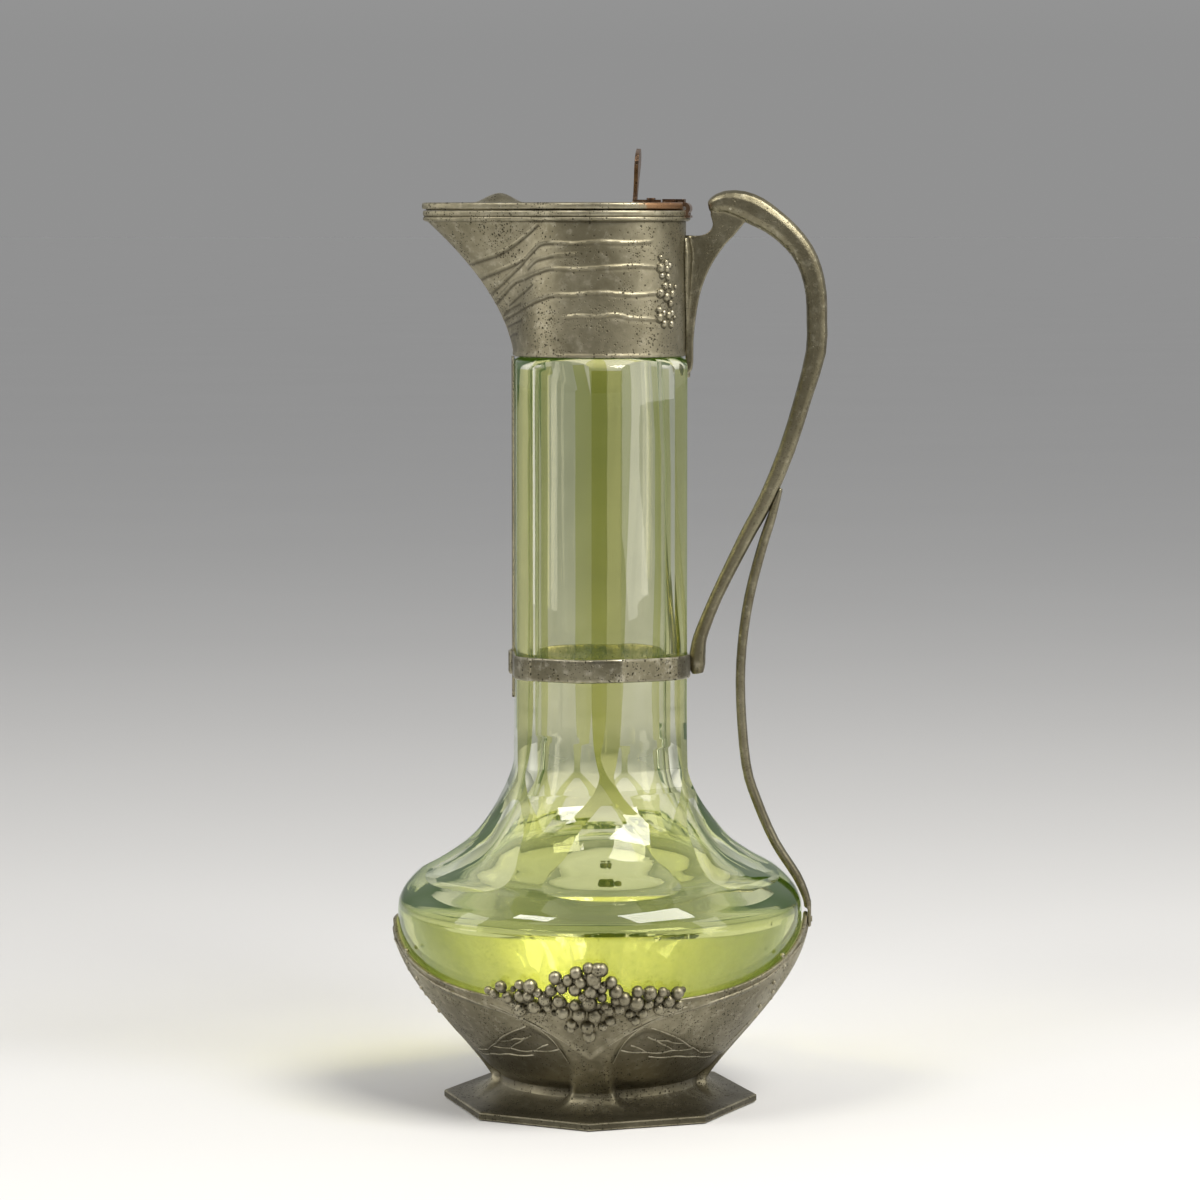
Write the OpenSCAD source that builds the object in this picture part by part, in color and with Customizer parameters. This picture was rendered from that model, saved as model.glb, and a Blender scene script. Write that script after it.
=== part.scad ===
// Claret jug: a cut glass bottle held in a cast pewter cup, neck band and collar, with a hinged lid.
// The spout points to -X and the handle to +X. The foot stands on Z = 0, centred on the bottle's axis.

/* [Bottle] */
// Largest radius of the glass bulb
bulb_r = 78.4; // [66:0.1:94]
// Height of the bulb's widest place above the table
bulb_z = 76; // [66:0.5:90]
// Height of the shoulder, from the bulb's widest place to the straight neck
shoulder_h = 80; // [68:0.5:96]
// Length of the straight glass neck that shows between shoulder and collar
neck_h = 133.5; // [112:0.5:160]
// Radius of the neck over the ridges between its cut faces
neck_r = 34.9; // [29.5:0.1:41.5]
// Half width of the uncut strip between two faces, as an angle at the axis
strip_half = 9.3; // [7.8:0.1:11.2]
// Depth of the leaf-shaped hollows that are ground into the shoulder, one under each strip
leaf_depth = 2.6; // [2.2:0.1:3.1]
// Thickness of the glass behind the middle of a cut face
glass_wall = 4.8; // [4.4:0.1:5.7]
// How much lower the inside of the shoulder lies than its outside
shoulder_wall = 6; // [5.6:0.1:7]
// Thickness of the bottle's floor
glass_floor = 6; // [5:0.1:7.5]
// Height of the plain ring of glass that stands inside the collar
finish_h = 16; // [13:0.5:20]

/* [Base cup] */
// Radius of the eight-sided foot over its corners
foot_r = 61; // [55:0.5:73]
// Thickness of the foot at its edge
foot_t = 3; // [2.5:0.1:3.6]
// Radius of the waist between foot and cup
waist_r = 41.5; // [37:0.5:46]
// Height of the waist's narrowest place
waist_z = 10.5; // [9:0.1:12.6]
// Wall of the cast cup
cup_wall = 1.8; // [1.5:0.1:2.2]
// Height of the cup's rim at front and back
rim_low = 51; // [44:0.5:57]
// How far the rim's point on the spout side stops under the one on the handle side
rim_tip_drop = 3.5; // [2.5:0.1:5]
// Thickness of the plate that closes the foot
plate_t = 1.5; // [1.2:0.1:1.8]
// Thickness of the cork pad under the bottle
pad_t = 2; // [1.6:0.1:2.4]

/* [Collar and spout] */
// Height of the collar, from its lower edge to the rim moulding
collar_h = 51.5; // [44:0.5:60]
// Wall of the cast collar
collar_wall = 2.2; // [1.8:0.1:2.6]
// Distance from the bottle's axis to the lip of the spout
spout_reach = 66.5; // [58:0.5:79]
// Height of the rim moulding round the collar's mouth
moulding_h = 4.2; // [3.6:0.1:5]
// How far the rim moulding stands out from the collar
moulding_out = 1.7; // [1.4:0.1:2]
// Width of the tongue that runs down the neck under the spout
tongue_w = 6.4; // [5:0.1:7.6]
// Width of the tongue where it runs under the neck band
tongue_end_w = 3; // [2.4:0.1:3.6]
// How far the tongue's point hangs below the neck band
tongue_tip = 9; // [7:0.5:11]
// Thickness of the tongue
tongue_t = 1; // [0.8:0.05:1.2]

/* [Lid and hinge] */
// Thickness of the lid plate
lid_t = 2.7; // [2.3:0.1:3.2]
// Radius of the hinge pin
pin_r = 0.8; // [0.7:0.05:0.95]
// Radius of the hinge barrel
barrel_r = 2.3; // [2:0.1:2.7]
// Length of one hinge knuckle
knuckle_w = 3.6; // [3:0.1:4.3]
// Height of the thumb piece above the lid
thumb_h = 20.4; // [17:0.1:24]
// Width of the thumb piece at its widest
thumb_w = 17; // [14:0.5:20]
// Thickness of the thumb piece's sheet
thumb_t = 1.5; // [1.3:0.1:1.8]

/* [Neck band and handle] */
// Height of the neck band's lower edge above the bulb's widest place
band_rise = 90.5; // [84:0.5:100]
// Width of the neck band, measured up the neck
band_w = 9; // [7.5:0.1:10.8]
// Thickness of the neck band
band_t = 1.2; // [1:0.1:1.5]
// Distance from the collar to the outermost place of the handle
handle_out = 54; // [45:0.5:64]
// Thickness of the handle, across the jug
handle_t = 8; // [6.7:0.1:9.6]
// Width of the strut that runs from handle to cup, across the jug
strut_t = 6; // [5:0.1:7.2]

/* [Hidden] */
PEWTER = [0.47, 0.45, 0.40];
COPPER = [0.55, 0.36, 0.22];
GLASS = [0.62, 0.78, 0.25, 0.5];
CORK = [0.60, 0.45, 0.28];
PLASTER = [0.86, 0.84, 0.78];

// Clearances: solder_gap is what a soldered or bedded face leaves, seat_gap what the bottle leaves in its cup.
solder_gap = 0.05;
seat_gap = 0.4;
pin_gap = 0.05;
knuckle_gap = 0.15;
band_gap = 0.1;
handle_gap = 0.3;
lid_gap = 0.35;
far = 400;
round_fn = 96;
cut_faces = 6;

// Heights that follow from the bottle.
shoulder_top = bulb_z + shoulder_h;
collar_z = shoulder_top + neck_h;
moulding_z = collar_z + collar_h;
mouth_z = moulding_z + moulding_h;
lid_z = mouth_z + lid_gap;
lid_top = lid_z + lid_t;
finish_top = collar_z + finish_h;
band_z = bulb_z + band_rise;
rim_peak = bulb_z - 1;
cup_floor_z = waist_z + 4.5;
pad_z = cup_floor_z + solder_gap;
glass_z = pad_z + pad_t + solder_gap;

// Radii that follow from the bottle.
half_face = 180 / cut_faces;
half_cut = half_face - strip_half;
face_in = neck_r * cos(half_cut);
bore_r = face_in - glass_wall;
collar_r = neck_r - 1.9;
finish_r = collar_r - collar_wall - 1.4;
peak_r = bulb_r + seat_gap + cup_wall;

// ---- curves ----

// Point at share u between p1 and p2 on the smooth curve through four points.
function smooth_point(p0, p1, p2, p3, u) =
    0.5 * (2 * p1 + (p2 - p0) * u + (2 * p0 - 5 * p1 + 4 * p2 - p3) * u * u
           + (3 * p1 - p0 - 3 * p2 + p3) * u * u * u);

// Smooth curve through the points, with n steps between each two.
function smooth_curve(pts, n) = concat(
    [for (i = [0 : len(pts) - 2], j = [0 : n - 1])
        smooth_point(pts[max(i - 1, 0)], pts[i], pts[i + 1], pts[min(i + 2, len(pts) - 1)], j / n)],
    [pts[len(pts) - 1]]);

// Solid through closed rings of equally many points, listed from low to high and anticlockwise from above.
module loft(rings) {
    n = len(rings[0]);
    m = len(rings);
    points = [for (r = rings) each r];
    sides = [for (i = [0 : m - 2], j = [0 : n - 1])
        each [[i * n + j, (i + 1) * n + j, (i + 1) * n + (j + 1) % n],
              [i * n + j, (i + 1) * n + (j + 1) % n, i * n + (j + 1) % n]]];
    low = [[for (j = [0 : n - 1]) j]];
    high = [[for (j = [n - 1 : -1 : 0]) (m - 1) * n + j]];
    polyhedron(points, concat(sides, low, high));
}

function sign_power(v, e) = sign(v) * pow(abs(v), e);

// Ring across a path in the XZ plane: w is the width in that plane, t the thickness along Y.
function path_ring(p, dir, sides, squareness) =
    [for (k = [0 : sides - 1])
        let (a = 360 * (k + 0.5) / sides,
             across = sign_power(cos(a), 2 / squareness) * p[2] / 2,
             along_y = sign_power(sin(a), 2 / squareness) * p[3] / 2)
        [p[0] + dir[1] * across, along_y, p[1] - dir[0] * across]];

function unit2(v) = v / norm(v);

// Bar along a path of [x, z, width, thickness] in the XZ plane, with rounded corners.
module bar(path, sides = 12, squareness = 3) {
    last = len(path) - 1;
    loft([for (i = [0 : last])
        let (a = path[max(i - 1, 0)], b = path[min(i + 1, last)], dir = unit2([b[0] - a[0], b[1] - a[1]]))
        path_ring(path[i], dir, sides, squareness)]);
}

// ---- base cup ----

// Outer radius of the cup at height z: upright at the rim's points, spreading fast from the waist.
function cup_r(z) =
    let (t = min(1, max(0, (z - waist_z) / (rim_peak - waist_z))))
    waist_r + (peak_r - waist_r) * sin(90 * pow(t, 1.12));

// Height of the rim at an angle measured from the front: low there, with a point on spout and handle side.
function rim_z(a) = rim_low + (rim_peak - rim_low) * pow(abs(a) / 90, 3.2);

cup_steps = 22;
// Inside line of the cup as [height, radius]; the bottle's outside follows it at seat_gap.
cup_inside = [for (i = [0 : cup_steps])
    let (z = cup_floor_z + (rim_peak - cup_floor_z) * i / cup_steps) [z, cup_r(z) - cup_wall]];
foot_cove_r = foot_r * cos(22.5) - 0.6;
foot_ring_in = foot_r * cos(22.5) - 7;
foot_shell = 2.6;

module cup_casting() {
    outside = [for (i = [0 : cup_steps])
        let (z = waist_z + (rim_peak - waist_z) * i / cup_steps) [cup_r(z), z]];
    inside = [for (i = [cup_steps : -1 : 0]) [cup_inside[i][1], cup_inside[i][0]]];
    cove = [for (a = [0 : 15 : 90])
        [foot_cove_r - (foot_cove_r - waist_r) * sin(a), foot_t + (waist_z - foot_t) * (1 - cos(a))]];
    hollow = [for (a = [90 : -15 : 0])
        [foot_ring_in - (foot_ring_in - waist_r + foot_shell) * sin(a),
         (cup_floor_z - foot_shell) * (1 - cos(a))]];
    rotate_extrude($fn = round_fn) difference() {
        polygon(concat([[0, 0], [foot_ring_in + 2, 0], [foot_ring_in + 2, foot_t - 0.2]],
                       cove, outside, inside, [[0, cup_floor_z]]));
        polygon(concat([[-1, cup_floor_z - foot_shell]], hollow, [[foot_ring_in, -1], [-1, -1]]));
    }
    difference() {
        cylinder(r = foot_r, h = foot_t, $fn = 8);
        translate([0, 0, -1]) cylinder(r = foot_ring_in + 1, h = foot_t + 2, $fn = round_fn);
    }
}

// Everything above the rim's line, as seen from the front.
module above_rim() {
    line = [for (a = [-90 : 6 : 90]) let (z = rim_z(a)) [cup_r(z) * sin(a), z]];
    rotate([90, 0, 0]) linear_extrude(2 * peak_r + 20, center = true)
        polygon(concat(line, [[peak_r + 9, rim_peak + 5], [peak_r + 9, far], [-peak_r - 9, far],
                              [-peak_r - 9, rim_peak - rim_tip_drop], [-peak_r + 3, rim_peak - rim_tip_drop]]));
}

// Flat plate soldered into the foot, so that it closes the hollow and the jug rests on it.
module foot_plate() {
    color(PEWTER) cylinder(r = foot_ring_in - solder_gap, h = plate_t, $fn = round_fn);
}

module base_cup() {
    color(PEWTER) difference() {
        cup_casting();
        above_rim();
        translate([0, 0, -1]) cylinder(r = foot_ring_in, h = plate_t + solder_gap + 1, $fn = round_fn);
        strut_rivet_hole();
    }
}

module base_pad() {
    color(CORK) translate([0, 0, pad_z]) cylinder(r = waist_r - 5, h = pad_t, $fn = round_fn);
}

// ---- bottle ----

// Shape of the shoulder: share of the way from neck radius to bulb radius, and share of the shoulder's height.
shoulder_shape = [[1, 0], [0.986, 0.05], [0.92, 0.115], [0.775, 0.19], [0.58, 0.25], [0.38, 0.325],
                  [0.226, 0.42], [0.115, 0.52], [0.042, 0.66], [0.01, 0.81], [0, 1]];
shoulder_line = smooth_curve(shoulder_shape, 2);

// The faces run straight down the neck to face_bend, then the wheel lifts out of the shoulder at face_end.
face_bend = 0.7;
face_end = 0.42;

function shoulder_z(t) = bulb_z + shoulder_h * t;
function blank_r(u) = neck_r + (bulb_r - neck_r) * u;

neck_round = 4;
glass_corner = 5;

module glass_blank() {
    low = [for (p = cup_inside) if (p[0] > glass_z + 4) [p[1] - seat_gap, p[0]]];
    foot_line = lookup(glass_z + 1.4, cup_inside) - seat_gap;
    shoulder = [for (p = shoulder_line) [blank_r(p[0]), shoulder_z(p[1])]];
    top = [for (a = [0 : 15 : 90])
        [finish_r + (neck_r - finish_r) * cos(a), collar_z - neck_round + (neck_round - 0.6) * sin(a)]];
    rotate_extrude($fn = round_fn)
        polygon(concat([[0, glass_z], [foot_line - 1.3 * glass_corner, glass_z],
                        [foot_line - 0.2 * glass_corner, glass_z + 1.4]], low, shoulder, top,
                       [[finish_r, finish_top], [0, finish_top]]));
}

// Share of the shoulder's height up to which its wall is thicker, for the leaves.
shoulder_thick_end = 0.52;

module glass_hollow() {
    low = [for (i = [0 : 12]) let (z = glass_z + glass_floor + 3 + (bulb_z - glass_z - glass_floor - 3) * i / 12)
        [cup_r(z - 1) - cup_wall - seat_gap - glass_wall, z]];
    shoulder = [for (p = shoulder_line) if (p[1] > 0)
        [bore_r + (bulb_r - glass_wall - bore_r) * p[0],
         shoulder_z(p[1]) - shoulder_wall * sin(180 * min(1, p[1] / shoulder_thick_end))]];
    rotate_extrude($fn = round_fn)
        polygon(concat([[0, glass_z + glass_floor], [low[0][0] - 9, glass_z + glass_floor],
                        [low[0][0] - 3, glass_z + glass_floor + 1]], low, shoulder,
                       [[bore_r, finish_top + 1], [0, finish_top + 1]]));
}

// Share of the way from neck radius to bulb radius at share t of the shoulder's height.
function bulb_share(t) = lookup(t, [for (p = shoulder_line) [p[1], p[0]]]);

// Distance from the axis to a face at share t of the shoulder's height.
function face_line(t) =
    let (u = min(1, max(0, (face_bend - t) / (face_bend - face_end))))
    face_in + (blank_r(bulb_share(face_end)) - face_in) * pow(u, 1.5);

// Cutter that flattens the glass along one face.
module face_cutter() {
    steps = 11;
    line = [for (i = [0 : steps])
        let (t = face_end + (face_bend - face_end) * i / steps) [face_line(t), shoulder_z(t)]];
    low = shoulder_z(face_end);
    rotate([90, 0, 0]) linear_extrude(2 * bulb_r, center = true)
        polygon(concat(line, [[face_in, collar_z + 1], [far, collar_z + 1], [far, low]]));
}

// The wheel that grinds a leaf turns across the shoulder's hollow: its centre stands out from the neck and up
// the shoulder by these shares, and its rim reaches leaf_depth into the glass.
leaf_out = 1.044;
leaf_up = 0.685;
leaf_centre = [neck_r + (bulb_r - neck_r) * leaf_out, shoulder_z(leaf_up)];
leaf_reach = min([for (p = shoulder_line) norm([blank_r(p[0]), shoulder_z(p[1])] - leaf_centre)]);

module leaf_cutter() {
    translate([leaf_centre[0], 0, leaf_centre[1]]) rotate([90, 0, 0])
        cylinder(r = leaf_reach + leaf_depth, h = 2 * bulb_r, center = true, $fn = 120);
}

module glass_body() {
    color(GLASS) difference() {
        glass_blank();
        for (k = [0 : cut_faces - 1]) {
            rotate([0, 0, 2 * k * half_face]) face_cutter();
            rotate([0, 0, (2 * k + 1) * half_face]) leaf_cutter();
        }
        glass_hollow();
    }
}

// Prism round the cut neck, out from its surface: flat over the faces and round over the strips.
module neck_prism(out, z, h) {
    translate([0, 0, z]) intersection() {
        cylinder(r = neck_r + out, h = h, $fn = round_fn);
        rotate([0, 0, half_face]) cylinder(r = (face_in + out) / cos(half_face), h = h, $fn = cut_faces);
    }
}

// ---- berries on the cup ----

berry_step = 5.1;
berry_bottom = 36;
berry_top = 65;
berry_spread = 37;

// Repeatable number from -1 to 1 for berry (i, j), so that no two berries sit or swell alike.
function wobble(i, j, s) = sin(i * 127.1 + j * 311.7 + s * 74.7 + 360 * sin(i * 53.3 + j * 17.9));

// Heights of the bunch's rows, a row_step apart along the cup's surface from height z up.
row_step = 4.5;
function berry_rows(z) = z > berry_top ? [] :
    concat([z], berry_rows(z + row_step / norm([cup_r(z + 1) - cup_r(z), 1])));

// Half width of the bunch in degrees at height z: a point below, wings along the rim, a mound above it.
function bunch_angle(z) =
    z < rim_low + 1 ? berry_spread * pow(max(0, (z - berry_bottom + 2) / (rim_low + 3 - berry_bottom)), 1.4) :
    16 * (1 - pow(max(0, (z - rim_low) / (berry_top + 2 - rim_low)), 1.5));

module berry_bunch() {
    rows = berry_rows(berry_bottom);
    difference() {
        union() for (j = [0 : len(rows) - 1]) {
            z = rows[j];
            step = berry_step / cup_r(z) * 180 / PI;
            side = ceil(bunch_angle(z) / step);
            for (i = [-side : side]) {
                a = (i + (j % 2) / 2 + 0.05 * wobble(i, j, 1)) * step;
                r = 3.35 + 0.2 * wobble(i, j, 2);
                if (abs(a) <= bunch_angle(z))
                    rotate([0, 0, a - 90]) translate([cup_r(z) + 0.9, 0, z]) sphere(r = r, $fn = 8);
            }
        }
        rotate_extrude($fn = round_fn)
            polygon(concat([[0, berry_bottom - 9]],
                [for (z = [berry_bottom - 9 : 3 : rim_peak]) [cup_r(z) + solder_gap, z]],
                [[0, rim_peak]]));
    }
}

module berries_front() { color(PEWTER) berry_bunch(); }
module berries_back() { color(PEWTER) rotate([0, 0, 180]) berry_bunch(); }

// ---- collar, spout and lid outline ----

spout_start = collar_z - 3.5;
spout_round = 0.09;

// Share of the way up the spout, from where its keel leaves the collar.
function spout_rise(z) = (z - spout_start) / (moulding_z - spout_start);
function keel(z) = collar_r + (spout_reach - collar_r) * pow(spout_rise(z), 1.8);
function spout_half(z) = 14 + 42 * spout_rise(z);

// Radius of the collar's outline at height z and angle a from the spout's middle.
function collar_outline(z, a) =
    let (q = abs(a) / spout_half(z),
         share = max(0, 1 - sqrt(q * q + spout_round * spout_round)) / (1 - spout_round))
    collar_r + (keel(z) - collar_r) * pow(share, 2.2);

outline_steps = 80;
// Angles round the collar, closer together near the spout's keel.
outline_angles = [for (i = [0 : outline_steps - 1]) let (u = 2 * i / outline_steps - 1)
    180 * (0.35 * u + 0.65 * u * u * u)];

function collar_ring(z, out, height) =
    [for (a = outline_angles) let (r = collar_outline(z, a) + out) [-r * cos(a), -r * sin(a), height]];

// Heights of the rings that shape the collar, as shares of its height.
collar_levels = [0, 0.3, 0.55, 0.75, 0.9, 1];

module collar_hollow() {
    loft(concat([collar_ring(collar_z, -collar_wall, collar_z - 1)],
                [for (s = collar_levels) let (z = collar_z + collar_h * s) collar_ring(z, -collar_wall, z)],
                [collar_ring(moulding_z, -collar_wall, mouth_z + 1)]));
}

module collar() {
    color(PEWTER) difference() {
        union() {
            loft([for (s = collar_levels) let (z = collar_z + collar_h * s) collar_ring(z, 0, z)]);
            loft([collar_ring(moulding_z, -0.4, moulding_z - 0.8), collar_ring(moulding_z, moulding_out, moulding_z + 0.6),
                  collar_ring(moulding_z, moulding_out, moulding_z + 1.6),
                  collar_ring(moulding_z, moulding_out - 0.5, moulding_z + 1.9),
                  collar_ring(moulding_z, moulding_out, moulding_z + 2.3),
                  collar_ring(moulding_z, moulding_out, mouth_z)]);
        }
        collar_hollow();
        hinge_seat(solder_gap);
    }
}

module collar_bedding() {
    low = collar_z + 1;
    high = finish_top - 1;
    color(PLASTER) difference() {
        loft([for (z = [low : (high - low) / 4 : high + 0.01]) collar_ring(z, -collar_wall - 0.2, z)]);
        translate([0, 0, collar_z - 1]) cylinder(r = finish_r + solder_gap, h = finish_h + 2, $fn = round_fn);
    }
}

module spout_tongue() {
    top = collar_z - solder_gap;
    tip = band_z - tongue_tip;
    color(PEWTER) rotate([0, -90, 0]) translate([0, 0, face_in + solder_gap]) linear_extrude(tongue_t)
        polygon([[top, tongue_w / 2], [top, -tongue_w / 2], [band_z + band_w + 4, -tongue_end_w / 2],
                 [band_z, -tongue_end_w / 2], [tip, 0], [band_z, tongue_end_w / 2],
                 [band_z + band_w + 4, tongue_end_w / 2]]);
}

// ---- hinge and lid ----

hinge_x = collar_r + moulding_out - barrel_r + 0.3;
hinge_z = lid_top - barrel_r;
knuckles = 5;
hinge_w = knuckles * knuckle_w + (knuckles - 1) * knuckle_gap;
leaf_t = 1.2;

module along_hinge(r, y0, y1) {
    translate([hinge_x, y0, hinge_z]) rotate([-90, 0, 0]) cylinder(r = r, h = y1 - y0, $fn = 48);
}

function knuckle_start(k) = -hinge_w / 2 + k * (knuckle_w + knuckle_gap);

module knuckle(k) { along_hinge(barrel_r, knuckle_start(k), knuckle_start(k) + knuckle_w); }

seat_front = barrel_r + 1.2;
lug_t = 0.9;
lug_z = hinge_z - barrel_r - lid_gap - lug_t;

// Block that the hinge takes out of the collar's rim and of the lid.
module hinge_seat(gap) {
    w = hinge_w + 2 * gap;
    translate([hinge_x - seat_front - gap, -w / 2, lug_z - gap]) cube([20, w, 20]);
}

// Plate let into the collar's rim, with the outer and middle knuckles of the hinge.
module collar_hinge_lug() {
    color(COPPER) difference() {
        union() {
            for (k = [0, 2, 4]) {
                knuckle(k);
                translate([hinge_x - 1.2, knuckle_start(k), lug_z]) cube([barrel_r + 0.6, knuckle_w, hinge_z - lug_z]);
            }
            translate([hinge_x - seat_front, -hinge_w / 2, lug_z]) cube([seat_front + barrel_r, hinge_w, lug_t]);
        }
        along_hinge(pin_r, -hinge_w, hinge_w);
    }
}

leaf_len = 4.8;
leaf_x = hinge_x - seat_front;

module lid_hinge_leaf() {
    color(COPPER) difference() {
        union() {
            for (k = [1, 3]) {
                knuckle(k);
                translate([leaf_x - 0.1, knuckle_start(k), hinge_z])
                    cube([seat_front + 0.1, knuckle_w, barrel_r + solder_gap + leaf_t]);
            }
            translate([leaf_x - leaf_len, -hinge_w / 2, lid_top + solder_gap]) cube([leaf_len, hinge_w, leaf_t]);
        }
        along_hinge(pin_r + pin_gap, -hinge_w, hinge_w);
    }
}

module hinge_pin() {
    color(PEWTER) along_hinge(pin_r, -hinge_w / 2, hinge_w / 2);
}

boss_x = -38;
thumb_x = hinge_x - 18.5;
foot_tab = 10.6;
rivet_r = 1.1;
rivet_x = thumb_x + 5.4;
thumb_lean = 4;

module lid() {
    edge = moulding_out + 0.4;
    color(PEWTER) difference() {
        union() {
            loft([collar_ring(moulding_z, edge - 0.5, lid_z), collar_ring(moulding_z, edge, lid_z + 0.5),
                  collar_ring(moulding_z, edge, lid_top - 0.6), collar_ring(moulding_z, edge - 0.8, lid_top)]);
            difference() {
                translate([boss_x, 0, lid_top - 8]) sphere(r = 12, $fn = 40);
                translate([boss_x - 20, -20, lid_top - 30]) cube([40, 40, 30 - 0.5]);
            }
        }
        hinge_seat(knuckle_gap);
        // The lid stops short of the hinge's axis, so that no edge dips into the rim as it opens.
        translate([hinge_x - 0.3, -collar_r, lid_z - 1]) cube([20, 2 * collar_r, 20]);
        thumb_rivet_holes();
    }
}

// Sheet leaf bent up from a foot that is riveted to the lid, leaning a little towards the handle.
module thumb_piece() {
    z0 = lid_top + solder_gap;
    side = smooth_curve([[0.5, 3.6], [4, 3.2], [9, 5.2], [14, thumb_w / 2], [18, thumb_w / 2 - 1.4],
                         [thumb_h, 1.2]], 5);
    outline = concat(side, [for (i = [len(side) - 1 : -1 : 0]) [side[i][0], -side[i][1]]]);
    color(COPPER) difference() {
        union() {
            translate([thumb_x, 0, z0]) rotate([0, thumb_lean - 90, 0]) linear_extrude(thumb_t) polygon(outline);
            translate([thumb_x - thumb_t, -3.6, z0]) cube([foot_tab, 7.2, 1]);
        }
        thumb_rivet_holes();
    }
}

module thumb_rivet_holes() {
    for (y = [-2, 2]) translate([rivet_x, y, lid_z + 0.8 - solder_gap])
        cylinder(r = rivet_r + solder_gap, h = lid_t + 0.8, $fn = 32);
}

module thumb_rivets() {
    color(COPPER) for (y = [-2, 2]) {
        translate([rivet_x, y, lid_z + 0.8]) cylinder(r = rivet_r, h = lid_t + 0.3 + solder_gap, $fn = 32);
        translate([rivet_x, y, lid_top + 1.05 + solder_gap]) cylinder(r = rivet_r + 0.5, h = 0.6, $fn = 32);
    }
}

// ---- neck band ----

// Distances from the axis to the band's inside and outside over a cut face.
band_in = face_in + band_gap;
band_out = band_in + band_t;

module neck_band() {
    keeper_w = tongue_end_w + 2.4 * band_t;
    slot_w = tongue_end_w + 2 * solder_gap;
    slot_out = face_in + tongue_t + 2 * solder_gap;
    color(PEWTER) difference() {
        union() {
            neck_prism(band_gap + band_t, band_z, band_w);
            // Keeper that bridges the tongue.
            translate([-slot_out - band_t, -keeper_w / 2, band_z]) cube([band_t + tongue_t, keeper_w, band_w]);
        }
        neck_prism(band_gap, band_z - 1, band_w + 2);
        translate([-slot_out, -slot_w / 2, band_z - 1]) cube([slot_out - bore_r, slot_w, band_w + 2]);
        band_rivet_hole();
    }
}

band_rivet_r = 1.4;

module band_rivet_hole() {
    translate([band_in - 1, 0, band_z + band_w / 2]) rotate([0, 90, 0])
        cylinder(r = band_rivet_r + solder_gap, h = 6.6, $fn = 32);
}

module band_rivet() {
    color(PEWTER) translate([band_in + 0.1, 0, band_z + band_w / 2]) rotate([0, 90, 0])
        cylinder(r = band_rivet_r, h = 5.4, $fn = 32);
}

// ---- handle ----

// Places on the handle as [x, z, width, thickness]: the upper ones are measured from the collar's back and
// the lid's top, the lower ones from the neck band's outside and the middle of its width.
handle_mid = handle_out - 4.1;
handle_upper = [[8.6, -1.4, 3.5, 5], [10.5, -1, 6.4, 7.4], [15, 0.2, 8.8, 8.6], [21, -0.8, 11, 8.6], [27, -3.4, 11.6, 8.4],
                [33.2, -7.2, 10.3, 8.2], [39.2, -12.2, 9.6, 8], [44.6, -18.6, 9, 8], [48, -26, 8.6, 8],
                [handle_mid, -35, 8.3, 8], [handle_mid + 0.3, -45, 8.1, 8], [handle_mid, -57, 8, 8]];
handle_lower = [[44.1, 102.5, 6.8, 7.6], [38, 82.8, 6.5, 7], [30.3, 64, 6.3, 6.6], [24.1, 52.4, 6, 6.2], [18.3, 41, 5.5, 6],
                [11, 26, 5, 6], [5.9, 13.5, 5.3, 6.4], [4.2, 7.5, 5.8, 7], [3.6, 0, 6.6, 7.4], [3.9, -3.8, 4.4, 5]];
strut_rivet_r = 1.1;

function thick(p) = p[3] * handle_t / 8;
handle_line = smooth_curve(concat(
    [for (p = handle_upper) [collar_r + p[0], lid_top + p[1], p[2], thick(p)]],
    [for (p = handle_lower) [band_out + p[0], band_z + band_w / 2 + p[1], p[2], thick(p)]]), 2);

// Outline of the root that joins the handle's arch to the tail on the collar's back, from the same corner.
root_outline = [[-2, -12.2], [1, -12.5], [5.2, -12.6], [8.6, -11.4], [10.4, -8.4], [9.6, -3], [16, 0], [24, -4],
                [19.4, -11.4], [15.4, -15.6], [11.2, -21.4], [7.8, -28], [5.4, -35], [3.8, -44], [2.9, -53],
                [2.4, -64], [-2, -66]];
root_t = 5;
tail_t = 13;

module handle_root() {
    points = [for (p = root_outline) [collar_r + p[0], lid_top + p[1]]];
    rotate([90, 0, 0]) linear_extrude(root_t, center = true) polygon(smooth_curve(points, 3));
    // Leaf-shaped tail, broad under the notch and running out below the collar.
    bar([[collar_r - 0.6, lid_top - 13.5, 5.4, tail_t * 0.8], [collar_r + 0.1, lid_top - 20, 6, tail_t],
         [collar_r, lid_top - 34, 4.6, tail_t * 0.72], [collar_r + 0.2, lid_top - 50, 3.4, tail_t * 0.42],
         [collar_r + 0.6, lid_top - 67, 2.4, 2.6]], 12, 2);
}

module handle_bar() { bar(handle_line, 12, 2.6); }

module handle() {
    color(PEWTER) difference() {
        union() {
            handle_bar();
            handle_root();
        }
        translate([0, 0, collar_z - solder_gap])
            cylinder(r = collar_r + solder_gap, h = collar_h + 1, $fn = round_fn);
        // Room for the flat faces of neck and band, which the tail and the foot stand on.
        translate([0, -neck_r, shoulder_top]) cube([face_in + handle_gap, 2 * neck_r, neck_h]);
        translate([0, -neck_r, band_z - band_w]) cube([band_out + solder_gap, 2 * neck_r, 3 * band_w]);
        band_rivet_hole();
    }
}

strut_end = rim_peak + 1.5;
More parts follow.
